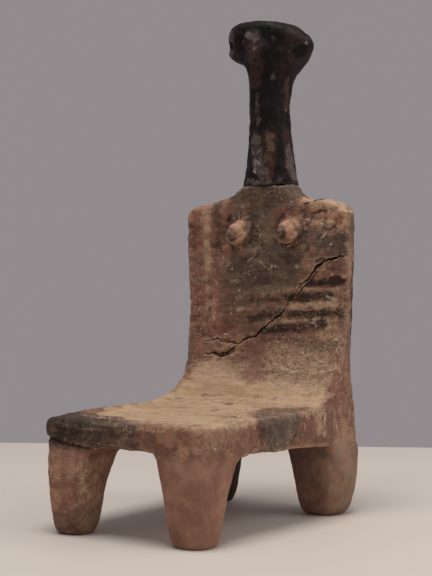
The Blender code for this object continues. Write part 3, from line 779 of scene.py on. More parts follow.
# %% Strokes on the backrest
# Layer, width in mm, strength and route
BACK_STROKES = (
    # Red edge stripe, cream stripe and dark stripe beside the right breast
    ("dark", 2.2, 0.4, ((-31.5, 100), (-30.5, 92))),
    ("dark", 2.2, 0.62, ((-32.5, 99.4), (-29, 99))),
    ("dark", 1.6, 0.48, ((-31, 71.5), (-27, 70.6))),
    ("dark", 2.4, 0.46, ((-28, 62), (-25.5, 60.4))),
    ("red", 4, 1, ((-31.5, 106), (-31, 92))),
    ("red", 7.5, 0.62, ((-30.5, 108), (-30.5, 84), (-29.5, 68), (-28.5, 54))),
    ("slip", 3.4, 0.6, ((-25.3, 108), (-25.2, 92), (-25.3, 84))),
    ("slip", 2.6, 0.46, ((-25.3, 84), (-25.4, 76), (-25.5, 68))),
    ("dark", 4.2, 0.5, ((-21.2, 108), (-20.9, 98), (-20.5, 90))),
    ("dark", 2.4, 0.36, ((-20.5, 90), (-20.2, 82))),
    ("red", 5, 0.42, ((-17, 108), (-18, 90), (-19, 62))),
    ("bare", 6, 0.34, ((-22, 76), (-21, 66))),
    # Dark fall from the neck between the breasts, and the broad dark patch below them
    ("soot", 9, 0.85, ((-1.5, 112), (-2, 104), (0, 96), (1, 90))),
    ("soot", 13, 0.8, ((-9, 111), (0, 110), (8, 111))),
    ("soot", 5, 0.6, ((-13.5, 103), (-9, 106), (-5, 108))),
    ("soot", 5, 0.62, ((13.6, 96), (14.5, 91), (15, 88))),
    # Bands to the right of the crack and their faint run across it
    ("dark", 3, 1.1, ((17.6, 78.4), (23.9, 78.6), (30.4, 78.6))),
    ("dark", 2.6, 1, ((8.5, 73), (17.2, 73.6), (25, 73.9))),
    ("dark", 2.2, 0.58, ((-5.5, 72.2), (1.8, 72.9), (8, 73))),
    ("dark", 2.5, 1.05, ((10, 67.3), (16, 67.8), (21.9, 68.2), (30, 68.4))),
    ("dark", 2.8, 0.74, ((-6, 66.3), (0.9, 66.9), (5.5, 67.6))),
    ("dark", 3.4, 0.82, ((-3, 61.2), (8, 62.4), (16.1, 63.2), (23, 64.1))),
    ("slip", 2.2, 0.62, ((-3, 75.2), (9.9, 76.2), (18.7, 76.4), (30, 76.3))),
    ("slip", 2.8, 0.88, ((10, 70.5), (18, 70.7), (28, 71))),
    ("slip", 4, 0.72, ((20.5, 70.4), (25.5, 70.6))),
    ("slip", 1.2, 0.55, ((-15, 69.2), (-2, 69.8), (6, 70.3))),
    ("slip", 1.7, 0.7, ((7, 65.1), (16, 65.6), (30, 66.2))),
    ("slip", 5, 0.5, ((22, 61), (30.5, 61))),
    # Dark patch by the left edge, the red edge stripe below it, and the pale losses above it
    ("dark", 1.4, 0.62, ((31.2, 94), (30.6, 89))),
    ("red", 4.6, 0.66, ((31.6, 85.5), (31.7, 72), (31.8, 60), (31.6, 48))),
    ("soot", 4.6, 0.4, ((31.8, 85.5), (31.9, 62))),
    ("bare", 3, 0.7, ((14, 108.5), (22, 107.6), (30, 105.6))),
    ("bare", 2.6, 0.55, ((-30, 107.2), (-22, 107.9), (-16, 108.2))),
    ("red", 6, 0.55, ((19.5, 82), (25, 82.3), (30, 82.6))),
    ("red", 6, 0.66, ((17.5, 101), (11, 106), (9, 109))),
    ("red", 5, 0.7, ((7, 106), (9, 103.6), (12, 102.6))),
    ("soot", 5, 0.5, ((17, 96), (21, 87), (26, 84))),
    # Lower back and sweep: tan slip with reddish streaks
    ("slip", 8, 1, ((-27, 41), (-10, 41.5), (4, 41), (28, 40))),
    ("bare", 4, 0.5, ((-25.5, 49), (-19, 50.5))),
    ("soot", 1.6, 0.7, ((-31, 60), (-30.6, 52), (-29.8, 46), (-29.2, 41))),
    ("red", 4, 0.55, ((-12, 66), (-16, 62), (-24, 61.5))),
    ("red", 4.5, 0.62, ((31.5, 52), (31.8, 45), (31.8, 38))),
    ("dark", 0.8, 0.46, ((29.2, 45.1), (30.2, 45.6), (30.9, 46.4))),
    ("soot", 4, 0.5, ((10, 60), (20, 56), (28, 57))),
)
print(len(BACK_STROKES), "strokes")

# %% Patches on the backrest
# Layer, softness of the edge in mm, strength and outline
BACK_PATCHES = (
    # Red edge stripe, cream stripe and dark stripe beside the right breast
    ("slip", 2, 0.44, ((-28, 109), (-15, 109), (-15, 104), (-20, 101), (-28, 102))),
    # Dark fall from the neck between the breasts, and the broad dark patch below them
    ("soot", 3, 1, (
        (-17.5, 86), (-9.3, 90.5), (0.9, 92.5), (12.4, 91), (15.5, 85), (11.5, 77.5), (-1.6, 74.5),
        (-11, 74.5), (-18.8, 78),
    )),
    ("dark", 2, 0.42, ((-10, 84), (2, 86), (9, 85), (8, 79.5), (-2, 77.5), (-10, 78))),
    ("soot", 3.5, 0.46, ((-19, 80), (-19, 66), (-8, 60), (6, 62), (8, 78))),
    # Dark patch by the left edge, the red edge stripe below it, and the pale losses above it
    ("soot", 2, 0.95, ((20.5, 96), (32.5, 95.4), (32.5, 88), (24, 88), (20.4, 90))),
    ("bare", 2, 0.95, ((13, 110.5), (13.5, 101.5), (19, 98.6), (24, 96.9), (34.5, 97), (36, 108))),
    ("slip", 2, 0.72, ((15, 110), (16, 105), (24, 102.5), (31, 101.5), (36, 101), (35, 109))),
    # Lower back and sweep: tan slip with reddish streaks
    ("slip", 5, 0.49, ((-29, 50), (-12, 50), (-6, 56), (4, 58), (30, 59), (33, 38), (-33, 38))),
    ("slip", 3.6, 0.95, ((-29, 40), (-27, 50), (-20, 51.5), (-12, 50), (-6, 45), (-5, 40))),
    ("red", 3.5, 0.7, ((-8.5, 60), (-8, 53), (-4, 44.5), (3, 43.5), (2.5, 50), (-1, 60))),
    ("soot", 3.5, 0.42, ((-6, 59), (-6, 53), (-3, 48), (1, 49), (-1, 59))),
    ("soot", 2, 0.24, ((-20, 47.8), (-14, 51), (-11, 50), (-12, 48))),
    ("soot", 2, 0.3, ((10, 49), (17, 50), (16, 45.5), (9, 45))),
)
paint_face("back", BACK_STROKES, BACK_PATCHES)

# %% [markdown]
# ## Crust and painted shade in the corners, and paint lost at the crack
# A dark crust with painted shade lies in the corner round each breast. It is drawn on the backrest
# but kept off the pellets. The crack's lips have lost their paint and show a thin dark line.

# %% Corners round the breasts and lips of the crack
CORNER_CRUST_AND_SHADE = (
    ("soot", 3.4, 0.95, ((-4.2, 101), (-3.2, 97), (-4.2, 93.5), (-7, 90.8))),
    ("dark", 2, 0.7, ((-4.6, 99.5), (-3.8, 96), (-5, 93.2))),
    ("dark", 1.2, 0.55, ((-16.4, 101), (-14.4, 102.8))),
    ("soot", 2.4, 0.75, ((-17.6, 98), (-16.6, 94), (-14, 91))),
    ("soot", 3, 0.72, ((16, 97), (15.8, 94), (13.6, 91))),
    ("dark", 1, 0.7, ((5.6, 92), (8.6, 90.8), (11.4, 91.4))),
)
paint_face("corner", CORNER_CRUST_AND_SHADE, ())
for route in (MAIN_CRACK, UPPER_FORK, LOWER_FORK):
    brush("back", "bare", 1.8, 0.46, route)
    brush("back", "dark", 0.6, 0.52, route)
print("dark paint on", int((layers["dark"] > 0.5).sum()), "points")

# %% [markdown]
# ## The seat
# Cream slip covers the seat, with faint red streaks from side to side, creases and pits darkened inside.
# Its right front corner is smoked dark, and an olive stain spreads from the filler patch.

# %% Slip, smoke and creases of the seat
SEAT_PATCHES = (
    # Slip
    ("slip", 1.3, 0.86, (
        (-26, -30), (-31, 8), (-32, 24), (33, 24), (33, 13), (24, 13), (17, 13), (12.5, 9), (13, 2),
        (21, -8), (27, -16), (34, -21), (34, -38), (31, -45), (24, -49), (12, -48), (4, -43.6),
        (-3, -40.8), (-10, -37.6), (-18, -34.6),
    )),
    # Smoked right front corner
    ("soot", 1.3, 0.9, (
        (-35, -29), (-35, -52), (3, -52), (2, -46.4), (-3, -44.2), (-10, -41.2), (-16, -39.4),
        (-21, -36.4), (-25, -30.5),
    )),
    ("dark", 1.5, 0.66, ((-35, -31), (-35, -52), (0, -52), (-2, -45), (-9, -42), (-16, -40), (-22, -37))),
    # Olive stain at the left edge
    ("soot", 1.4, 0.58, (
        (34, -21), (28, -15), (22, -7), (15, 2.5), (14, 9.5), (17.5, 12), (22.5, 11.5), (29, 6.5),
        (34, 3),
    )),
)
SEAT_STROKES = (
    # Pale slip beside the long crease
    ("slip", 1.8, 1.1, ((-26, 17.8), (-15.7, 17.9), (4, 14.8), (15, 14.4), (25, 15.4))),
    # Red along the smoked corner
    ("red", 1.8, 0.62, ((-24, -33.2), (-20, -35.4), (-14, -37.6), (-6, -40.2))),
    # Dark creases
    ("dark", 0.8, 0.48, ((-17.6, 19.9), (-9.9, 19.7), (3.2, 18.1))),
    ("dark", 0.8, 0.4, ((20.1, -5.5), (18.4, 1), (18.6, 7.2))),
    ("dark", 0.8, 0.44, ((-26.3, 15.8), (-15.7, 15.9), (4, 12.7), (15.1, 12.4), (24.6, 13.4))),
    ("dark", 0.7, 0.44, ((-3.2, 7.1), (-4.6, 8.8), (-3.4, 10.2), (-2, 9))),
)
paint_face("seat", SEAT_STROKES, SEAT_PATCHES)

# %% Red streaks and darkened pits of the seat
STREAK_WIDTH = 0.9
# How far to the rear, from where to where across, and strength
SEAT_STREAKS = (
    (20.4, -22.0, 12.0, 0.56), (15.0, -6.0, 24.0, 0.50), (11.0, -14.0, 18.0, 0.48), (2.0, -24.0, 4.0, 0.46),
    (-12.0, -20.0, 8.0, 0.44), (-26.0, -16.0, 14.0, 0.42), (6.5, 2.0, 17.0, 0.50), (-4.0, -10.0, 14.0, 0.42),
)
for y, x0, x1, strength in SEAT_STREAKS:
    brush("seat", "red", STREAK_WIDTH, strength, ((x0, y), (0.5 * (x0 + x1), y + 0.6), (x1, y - 0.4)))
for x, y, reach in SEAT_PITS:
    brush("seat", "dark", 0.9 * reach, 0.56, ((x - 1.0, y), (x + 1.2, y + 0.5)))
print(len(SEAT_STREAKS), "streaks and", len(SEAT_PITS), "pits")

# %% [markdown]
# ## The front edge and the right front leg
# The front edge is smoked dark at the figure's right and fades to reddish clay. The leg below it
# is mottled and darker at the foot, with painted shade low round its left side and painted light
# above that.

# %% Paint of the front
FRONT_STROKES = (
    # Front edge: smoked dark at the figure's right, fading to reddish clay
    ("red", 5, 0.5, ((-7, 32), (2, 31.5), (10, 31))),
    ("dark", 7, 0.56, ((-14, 32), (-8, 32), (-3, 32))),
    ("dark", 7, 0.44, ((-4, 32), (6, 32))),
    ("bare", 5, 0.54, ((16, 33), (21, 32), (23.5, 28.5))),
    ("bare", 5, 0.3, ((25, 31), (28, 33))),
    ("red", 7, 0.4, ((16, 32.5), (23, 32))),
    ("dark", 1.2, 0.52, ((20.8, 28.6), (22, 29.2))),
    ("bare", 1.5, 0.6, ((-9, 35.2), (-2, 34.8), (5, 34.2), (13, 34.6), (22, 35.4), (30, 35.8))),
    # Right front leg: mottled, darker at the foot, with painted shade and light round its left side
    ("slip", 4, 0.44, ((-29, 27), (-28.8, 20))),
    ("bare", 6, 0.4, ((-24, 24), (-23, 15), (-25, 9))),
    ("bare", 5, 0.3, ((-18, 24), (-18, 10))),
    # A paler stroke paints light on the leg's shaded left edge
    ("bare", 5, 0.42, ((-13, 25), (-13.5, 12))),
    ("dark", 1.4, 0.6, ((-31, 15), (-30.2, 11))),
    # Dark low on the left edge and foot is painted shade
    ("dark", 6, 0.36, ((-13, 9), (-15, 3), (-22, 1))),
)
FRONT_PATCHES = (
    # Front edge: smoked dark at the figure's right, fading to reddish clay
    ("soot", 3.4, 1, ((-33, 39), (-33, 28), (-18, 27), (-8, 26), (-3, 27), (0, 34.5), (-3, 38))),
    ("soot", 4, 0.62, ((-6, 38), (-6, 26), (4, 27), (9, 34.5), (6, 38))),
    ("dark", 3.2, 0.74, (
        (-35, 39), (-35, 27.5), (-20, 26.5), (-13, 26.5), (-12, 34), (-14, 38), (-20, 39),
    )),
    # Right front leg: mottled, darker at the foot and round its left side
    ("soot", 5, 0.28, ((-33, 12), (-31, -1), (-10, -1), (-12, 8))),
)
paint_face("front", FRONT_STROKES, FRONT_PATCHES)

# %% [markdown]
# ## The left side
# Broken clay and a darker filler patch, a red-brown wedge beside it and tan clay behind. The
# backrest's edge gets painted shade towards the rear. Strokes here are in mm from front to rear
# and up.

# %% Paint of the left side
RED_WEDGE = ((4.8, 35.4), (1.8, 30.0), (-1.4, 26.4), (6.0, 26.4), (12.6, 28.5), (11.4, 32.0), (8.6, 35.4))
LEFT_STROKES = (
    # Slip on the front of the rim
    ("slip", 1.5, 0.66, ((-49, 35.4), (-38, 35.6), (-25, 36))),
    ("slip", 3, 0.85, ((-40, 35.8), (-32, 35.2), (-26, 35.2), (-21, 35.8))),
    # Red streak below the backrest
    ("red", 2.2, 0.66, ((26, 44), (28, 37), (30, 28))),
    # Painted shade on the backrest's edge, laid as soot and a dark line, and bare clay
    ("soot", 5, 0.7, ((41, 104), (42, 88))),
    ("soot", 5, 0.56, ((36.5, 100.5), (37, 92))),
    ("soot", 5, 0.5, ((37, 66), (37.5, 54))),
    ("dark", 2.8, 0.9, ((38.4, 84), (38.4, 72), (40, 64), (40.8, 56))),
    ("bare", 2.6, 0.5, ((35, 82), (35.4, 74))),
    # Red streak down to the leg
    ("red", 3.4, 0.66, ((31, 48), (32, 40), (33.5, 34))),
)
LEFT_PATCHES = (
    # Filler patch, with red clay before it
    ("soot", 1.4, 1, FILLER),
    ("dark", 2.5, 0.45, ((-22, 35), (-20, 30), (-12, 29), (-9, 34))),
    ("red", 1, 0.6, ((-24, 34.5), (-22, 26.5), (-17, 26.5), (-18, 34.5))),
    # Red-brown wedge and the tan clay behind it
    ("red", 1, 0.95, RED_WEDGE),
    ("soot", 1, 0.37, RED_WEDGE),
    ("slip", 1.6, 0.62, ((12, 38), (13.4, 31), (15, 27), (20, 27), (20.5, 37))),
    ("soot", 2, 0.3, ((10, 31), (10, 26), (18, 26), (18, 30))),
    # Thin slip at the front and on the rear leg
    ("slip", 3, 0.26, ((-50, 38), (-50, 28), (-25, 26), (-24, 38))),
    ("slip", 5, 0.42, ((24, 38), (25, 0), (46, 0), (46, 38))),
)
paint_face("left", LEFT_STROKES, LEFT_PATCHES)

# %% [markdown]
# ## Painted shade and light round the legs
# The legs are round, so this paint is laid by place and by the way the surface faces, not drawn
# on a face. All of it stands for light and shade: painted shade low on the left side of the right
# front leg and painted light above it, black painted shade where the right rear leg faces front
# and left, and dusky painted shade on the left rear leg under the seat.

# %% Painted shade and light on the legs
TOWARDS_FRONT_LEFT = np.array((0.56, -0.83, 0.0))

at_front = climb(-30.0, -38.0, py)
leg_side_painted_shade = climb(-0.2, 0.4, normals[:, 0]) * climb(-8.0, -12.0, px)
# Painted shade low on the left side of the right front leg
lay("soot", 0.34, leg_side_painted_shade * at_front * climb(15.0, 5.0, pz))
inner_side_painted_light = climb(-20.0, -14.0, px) * climb(-8.0, -10.0, px) * climb(0.2, 0.7, normals[:, 0])
# Pale slip paints light higher on that side
lay("slip", 0.43, inner_side_painted_light * at_front * climb(LEG_TOP, 22.0, pz))
rear_right_leg_painted_shade = climb(-8.0, -14.0, px) * climb(20.0, 26.0, py) * climb(31.0, 14.0, pz + wobble)
# Black painted shade on the right rear leg, most where it faces front and left
lay("dark", 0.95, rear_right_leg_painted_shade * climb(-0.5, 0.3, normals @ TOWARDS_FRONT_LEFT))
lay("soot", 0.75, rear_right_leg_painted_shade)
# Dusky painted shade on the left rear leg under the seat
lay("soot", 0.46, climb(8.0, 14.0, px) * climb(18.0, 22.0, py) * climb(28.0, 22.0, pz))
print("soot on", int((layers["soot"] > 0.5).sum()), "points")

# %% [markdown]
# ## Cream flakes on the crumbled line
# Along the line where the top of the seat meets the smoked corner, chips of clean cream slip
# still hold. There the darker layers are taken away again, so this comes after all strokes.

# %% Flakes that still hold
FLAKE_LINE = ((-20.5, -36.4), (-15.2, -38.8), (-10.4, -40.2), (-3.1, -43.2), (4.0, -45.2))

spots, weight = faces["seat"]
holding = weight * climb(1.7, 0.8, far_from(FLAKE_LINE, spots) + 0.5 * wobble)
holding *= climb(0.15, -0.15, ripple(points, 2.2, 8))
for name in ("soot", "dark", "red"):
    layers[name] *= 1.0 - holding
lay("slip", 1.0, holding)
print("flakes on", int((holding > 0.5).sum()), "points")

# %% [markdown]
# ## Pellets and nipples
# The pellets are pale clay with dark dirt and painted shade where they meet the backrest, a smoked nipple
# and, on the left one, a painted highlight.
# Each is cleared of what fell on it from the strokes before, and then gets its own paint.

# %% Paint of the pellets
PELLETS = ((-8.2, 30.2, 97.8), (11.6, 30.2, 97.6))
# Route of the crust and painted shade at the foot of each pellet, and its strength
CRUST_AND_SHADE = (
    (((-5.2, 32.4, 101.0), (-4.2, 32.8, 97.0), (-5.6, 32.6, 93.4)), 1.0),
    (((15.6, 32.8, 96.0), (14.6, 32.8, 92.6)), 0.62),
)
for centre in PELLETS:
    near = gap_to(centre, points)
    for name in ("slip", "red", "soot", "dark"):
        layers[name] *= climb(3.8, 5.0, near)
    lay("bare", 1.15, climb(5.0, 3.2, near + 0.6 * wobble))
# Crust with painted shade at the foot of each pellet
for route, strength in CRUST_AND_SHADE:
    away = far_from(route, points) + 0.9 * wobble
    lay("soot", strength, climb(3.8, 1.8, away))
    lay("dark", 0.60 * strength, climb(2.2, 1.0, away))
# A spot of pale slip on the left pellet is a painted highlight
lay("slip", 1.1, climb(4.2, 2.2, gap_to((-7.2, 28.6, 98.2), points)))
lay("red", 0.44, climb(4.2, 2.2, gap_to((12.4, 28.6, 98.2), points)))
print(len(PELLETS), "pellets cleared and painted")

# %% Paint of the nipples
# Centre, reach of the smoke, half width of its ring and how strong it is
NIPPLES = (((-12.2, 28.3, 95.3), 2.9, 0.9, 0.62), ((8.5, 28.2, 95.6), 2.9, 0.9, 0.76))
for centre, reach, ring, smoke in NIPPLES:
    near = gap_to(centre, points)
    for name in ("bare", "slip"):
        layers[name] *= climb(reach - 0.4, reach + 0.8, near)
    lay("soot", smoke, climb(reach + 0.4, reach - 0.4, near + 0.3 * wobble))
    lay("dark", 0.8 * smoke, climb(ring, 0.3, np.abs(near - 0.75 * reach + 0.2 * wobble)))
    lay("dark", 0.8 * smoke, climb(1.0, 0.4, near))
for name in LAYERS:
    store(body, name + "_layer", layers[name])
print("layers stored on the body:", ", ".join(LAYERS))

# %% [markdown]
# ## Fine lines
# A line thinner than the mesh's squares can't be stored as paint, but the distance to it can:
# distance changes evenly, so the shader can draw a crisp line where it is small. We store the
# distance to white scratches and to hairline cracks. Soft waves keep the lines from being ruled.

# %% Routes of the scratches and hairline cracks
# Routes of the white scratches on the backrest
SCRATCHES = (
    ((17.6, 64.8), (19.8, 64.4), (20.8, 63.3)), ((23.7, 74.6), (25.9, 73.2), (27.8, 72.1)),
    ((24.6, 73.2), (29, 72.9)), ((8.7, 50.1), (9.4, 49), (11.8, 48.6)),
    ((23.3, 65.6), (25.1, 65.6), (26.5, 63.7), (25, 62.9)),
    ((25.4, 59.9), (26.6, 59.8), (28.2, 58.8), (29.6, 59.2)), ((14.9, 54.6), (17.5, 53.3), (19.7, 54.4)),
    ((21.7, 52.1), (25.4, 51.5), (28.6, 51.9)), ((10.2, 53.2), (11.8, 52.2), (12.4, 51)),
    ((-22.4, 66), (-21.6, 68.4)), ((-27.4, 79), (-26.2, 80.6)),
    ((12.7, 47.8), (16.5, 48.2), (20.7, 47.4), (24.9, 48), (28.4, 48.6), (30.6, 49.4)),
    ((-7.8, 86), (-4.9, 88.8), (-2.8, 92.3), (-2, 96.5), (-3.6, 98.6)),
    ((14.1, 100.9), (15.8, 100.6), (18.1, 99.7), (19.4, 100.4)), ((15, 106.5), (18, 105.8), (21, 107)),
    ((20.9, 98.8), (23.7, 98.2), (24.5, 97.2)), ((26, 99.6), (28.4, 98.8)),
    ((-17.5, 60.2), (-16, 60.1), (-14.8, 58.9)), ((-24.2, 71.5), (-23.8, 72.6)),
    ((-18.6, 66.4), (-18, 67.8)), ((29, 63), (30.2, 58), (29.2, 55)),
    ((-14, 101.5), (-10.5, 102.6), (-8, 102)), ((13, 92.6), (8.6, 91), (5.6, 92.4)),
    ((-3, 86.6), (-0.5, 84), (2.6, 82.6)), ((3.6, 84.8), (5.8, 83.2)), ((-12.4, 68.8), (-9.4, 69.2)),
    ((-24.4, 86.2), (-22.8, 86.6)), ((-14.8, 79.2), (-12, 79.7)), ((-22.8, 57), (-21.2, 56.5)),
)
# Face and route of each hairline crack
HAIRLINES = (
    ("back", ((20.3, 85.5), (22.3, 86.5), (24.4, 86.6))),
    ("back", ((18.3, 79), (19.7, 81.1), (21.1, 82.8))),
    ("back", ((14.6, 105.9), (19, 106.3), (23, 107.2))),
    ("back", ((18.1, 102.5), (20.7, 103), (23.7, 103))),
    ("back", ((12, 74.2), (14.8, 76.6), (17, 78.4))),
    ("back", ((-16.2, 101), (-14.8, 102.6))),
    ("front", LEG_SEAM),
    ("left", ((18.6, 37), (18.4, 33.8), (17.8, 31.6), (17.1, 29.3))),
    ("left", ((4.6, 35.4), (1.5, 30.2), (-1.6, 26.8))),
    ("seat", ((22.8, -4.7), (23.4, 0), (22.9, 6.1), (26.6, 4.6))),
    ("seat", ((-22, -34.2), (-17, -36.4), (-13, -37.4))),
    ("seat", ((-11, -37), (-7, -38.8), (-4.6, -39.4))),
    ("seat", ((1, -41.8), (3.4, -42.8), (5, -42.4))),
)
print(len(SCRATCHES), "scratches and", len(HAIRLINES), "hairline cracks")

# %% Distance to the nearest line
LINE_REACH = 3.0
LINE_WAVE = 0.35

waves = LINE_WAVE * np.stack((ripple(points, 1.8, 14), ripple(points, 1.8, 15)), axis=1)


def far_from_lines(lines):
    """Distance in mm from each point to the nearest of some lines on their faces, 3 at most."""
    nearest = np.full(len(points), LINE_REACH)
    for face, route in lines:
        spots, weight = faces[face]
        away = far_from(route, spots + waves) + LINE_REACH * (1.0 - climb(0.3, 0.6, weight))
        nearest = np.minimum(nearest, away)
    return nearest


scratch_distance = far_from_lines([("back", route) for route in SCRATCHES])
hairline_distance = far_from_lines(HAIRLINES)
store(body, "scratch", scratch_distance)
store(body, "hairline", hairline_distance)
print("points by a scratch:", int((scratch_distance < 0.4).sum()))

# %% [markdown]
# ## Crumbly and rough places
# The clay crumbles along the crack, on the seat's front edge and on the left shoulder. It is rough
# everywhere but on the rubbed legs. How far each point stands out is stored too, for a painted
# highlight on bulges and painted shade in hollows.

# %% Crumbly places
# Face, width in mm, strength and route
CRUMBLY = (
    ("front", 2.6, 0.7, ((3, 34.8), (16, 35), (26, 35.2))),
    ("seat", 4, 1, ((-22, -35.5), (-12, -38.8), (-3, -42), (6, -44.4), (22, -44))),
    ("seat", 9, 1, ((28, -31), (24, -24), (18, -14), (11, -4))),
    ("seat", 4, 0.7, ((22, -8), (20.5, 0), (21, 8), (29, 12))),
    ("back", 9, 0.75, ((16, 103), (24, 100.5), (30, 98.5))),
    ("back", 3.2, 0.8, MAIN_CRACK),
    ("back", 2.4, 0.7, LOWER_FORK),
    ("back", 2.4, 0.6, UPPER_FORK),
    ("back", 14, 0.85, ((8, 54), (20, 53), (29, 54))),
    ("back", 7, 0.45, ((-27, 50), (-12, 50.5), (0, 49), (12, 45), (28, 44))),
    ("back", 6, 0.6, ((-31, 90), (-30.5, 70), (-29, 56))),
    ("back", 10, 0.4, ((16, 66), (29, 72))),
    ("back", 4, 0.6, ((-8, 110.5), (0, 109.8), (8, 110.5))),
    ("back", 11, 0.3, ((-9, 94), (10, 94))),
    ("left", 4, 0.8, ((-24, 28), (-10, 26.5), (0, 27.5))),
    ("left", 5, 0.6, ((2, 37), (22, 38))),
)
crumbly = np.zeros(len(points))
for face, width, strength, route in CRUMBLY:
    spots, weight = faces[face]
    inside = 0.5 * width - far_from(route, spots) + 1.5 * wobble
    crumbly = np.maximum(crumbly, strength * weight * climb(-1.2, 1.2, inside))
store(body, "crumbly", crumbly)
print("crumbly clay on", int((crumbly > 0.5).sum()), "points")

# %% Roughness and relief
BODY_RELIEF_ROUNDS = 5
BODY_RELIEF_GAIN = 1.6

rough_leg = 0.5 * climb(-8.0, -12.0, px) * climb(-28.0, -36.0, py)
store(body, "rough", np.maximum(climb(LEG_TOP - 4.0, LEG_TOP + 2.0, pz), rough_leg))
relief = standing_out(body, points, normals, BODY_RELIEF_ROUNDS)
store(body, "relief", np.clip(0.5 + BODY_RELIEF_GAIN * relief, 0.0, 1.0))
print("relief from", relief.min().round(2), "to", relief.max().round(2), "mm")

# %% [markdown]
# ## Patterns that both materials share
# Most of a noise lies between 0.36 and 0.64, so we stretch it from there. A material starts from
# the clay and is covered with one colour after another, each as far as its mask is up. A paint
# layer's mask is its stored strength, thinned by wear, so that its edges break up.

# %% Cover a colour by masks and by wear
NOISE_LOW = 0.36
NOISE_HIGH = 0.64
# Sockets of a Mix node that mixes colours
FACTOR = 0
UNDER = 6
OVER = 7
MIXED = 2


def noises(tree, place, rows):
    """Several noises in one space, by name, each with features of its own size in mm."""
    made = {}
    for name, size, detail, roughness in rows:
        inputs = {"Vector": place, "Scale": per_mm(size), "Detail": detail, "Roughness": roughness}
        made[name] = add(tree, "TexNoise", inputs)
    return made


def wear_of(tree, parts):
    """How hard each place is worn: noises, each stretched to plus and minus its reach, summed."""
    wear = 0.0
    for pattern, reach in parts:
        stretched = add(tree, "MapRange", (pattern, NOISE_LOW, NOISE_HIGH, -reach, reach))
        wear = add(tree, "Math", (wear, stretched), operation="ADD")
    return wear


def cover_with(tree, colour, covers):
    """Covers a colour with others in turn, hex codes or sockets, each as far as its mask is up."""
    for paint, mask in covers:
        over = linear(paint) if isinstance(paint, str) else paint
        colour = add(tree, "Mix", {FACTOR: mask, UNDER: colour, OVER: over}, MIXED, data_type="RGBA")
    return colour


def worn_layers(tree, colour, paints, wear):
    """Covers a colour with stored layers, each thinned by wear and never more than its opacity."""
    for name, paint, wearing, soft, opacity in paints:
        strength = add(tree, "Attribute", output="Fac", attribute_name=name + "_layer")
        wearing_here = add(tree, "MapRange", (strength, 0.02, 0.35, 0.0, wearing))
        worn = add(tree, "Math", (wear, wearing_here), operation="MULTIPLY")
        worn = add(tree, "Math", (strength, worn), operation="ADD")
        edge = (worn, 0.5 - soft, 0.5 + soft, 0.0, opacity)
        mask = add(tree, "MapRange", edge, interpolation_type="SMOOTHSTEP")
        colour = cover_with(tree, colour, ((paint, mask),))
    return colour


def piled(tree, height, parts):
    """Adds patterns to a height, each times how high it stands, negative for a hollow."""
    for pattern, high in parts:
        raised = add(tree, "Math", (pattern, high), operation="MULTIPLY")
        height = add(tree, "Math", (height, raised), operation="ADD")
    return height


print("noise is stretched from", NOISE_LOW, "to", NOISE_HIGH)

# %% [markdown]
# ## Finish of the body
# The real surface is earthenware rubbed with a pebble, rough again after burial: a broken mix of
# orange and pinkish clay with dark grog specks and pale lime. Broad tones change over 14 mm,
# mottling over 3 mm and grain under 1 mm. Streaks and smears are noises stretched from side to
# side, the way the clay was wiped.

# %% Noises and stored values of the body
tree = clay_tree
shader = clay_shader
place = clay_place
# Name, size of its features in mm, detail and roughness
pattern = noises(tree, place, (
    ("broad", 14.0, 3.0, 0.6),
    ("mottle", 3.2, 6.0, 0.62),
    ("grain", 0.9, 5.0, 0.68),
    ("speckle", 0.55, 2.0, 0.5),
    ("blotches", 4.4, 4.0, 0.62),
    ("fleck patches", 7.0, 2.0, 0.5),
    ("flecks", 1.5, 2.0, 0.5),
    ("threads", 4.2, 1.0, 0.4),
    ("thread patches", 3.4, 1.0, 0.5),
))
streaked = add(tree, "Mapping", {"Vector": place, "Scale": (0.09, 1.0, 1.2)})
smeared = add(tree, "Mapping", {"Vector": place, "Scale": (0.12, 1.0, 1.0)})
pattern.update(noises(tree, streaked, (("streaks", 3.6, 2.0, 0.5),)))
pattern.update(noises(tree, smeared, (("smears", 1.3, 3.0, 0.6),)))
stored = {}
for name in ("rough", "relief", "crumbly", "scratch", "hairline", "slip_layer", "dark_layer"):
    stored[name] = add(tree, "Attribute", output="Fac", attribute_name=name)
print("noises:", ", ".join(pattern))

# %% Clay with dusky mottling and smeared dirt
clay_tones = add(tree, "ValToRGB", (pattern["broad"],))
set_stops(clay_tones, ((0.36, "#825c4b"), (0.50, "#976f5c"), (0.64, "#ab856c")))
dusk = add(tree, "MapRange", (pattern["mottle"], 0.42, 0.68), interpolation_type="SMOOTHSTEP")
dusk_amount = add(tree, "MapRange", (stored["rough"], 0.0, 1.0, 0.22, 0.5))
dusk = add(tree, "Math", (dusk, dusk_amount), operation="MULTIPLY")
dirt = add(tree, "Math", (pattern["grain"], pattern["smears"]), operation="ADD")
dirt = add(tree, "Math", (dirt, 0.5), operation="MULTIPLY")
dirt = add(tree, "MapRange", (dirt, 0.43, 0.60, 0.0, 0.58))
dirt = add(tree, "Math", (dirt, stored["rough"]), operation="MULTIPLY")
colour = cover_with(tree, clay_tones, (("#6b4a3e", dusk), ("#5a4036", dirt)))
print("clay mixed")

# %% Tones of the slip, the red and the soot
wiped = add(tree, "Math", (pattern["streaks"], pattern["blotches"]), operation="ADD")
wiped = add(tree, "Math", (wiped, 0.5), operation="MULTIPLY")
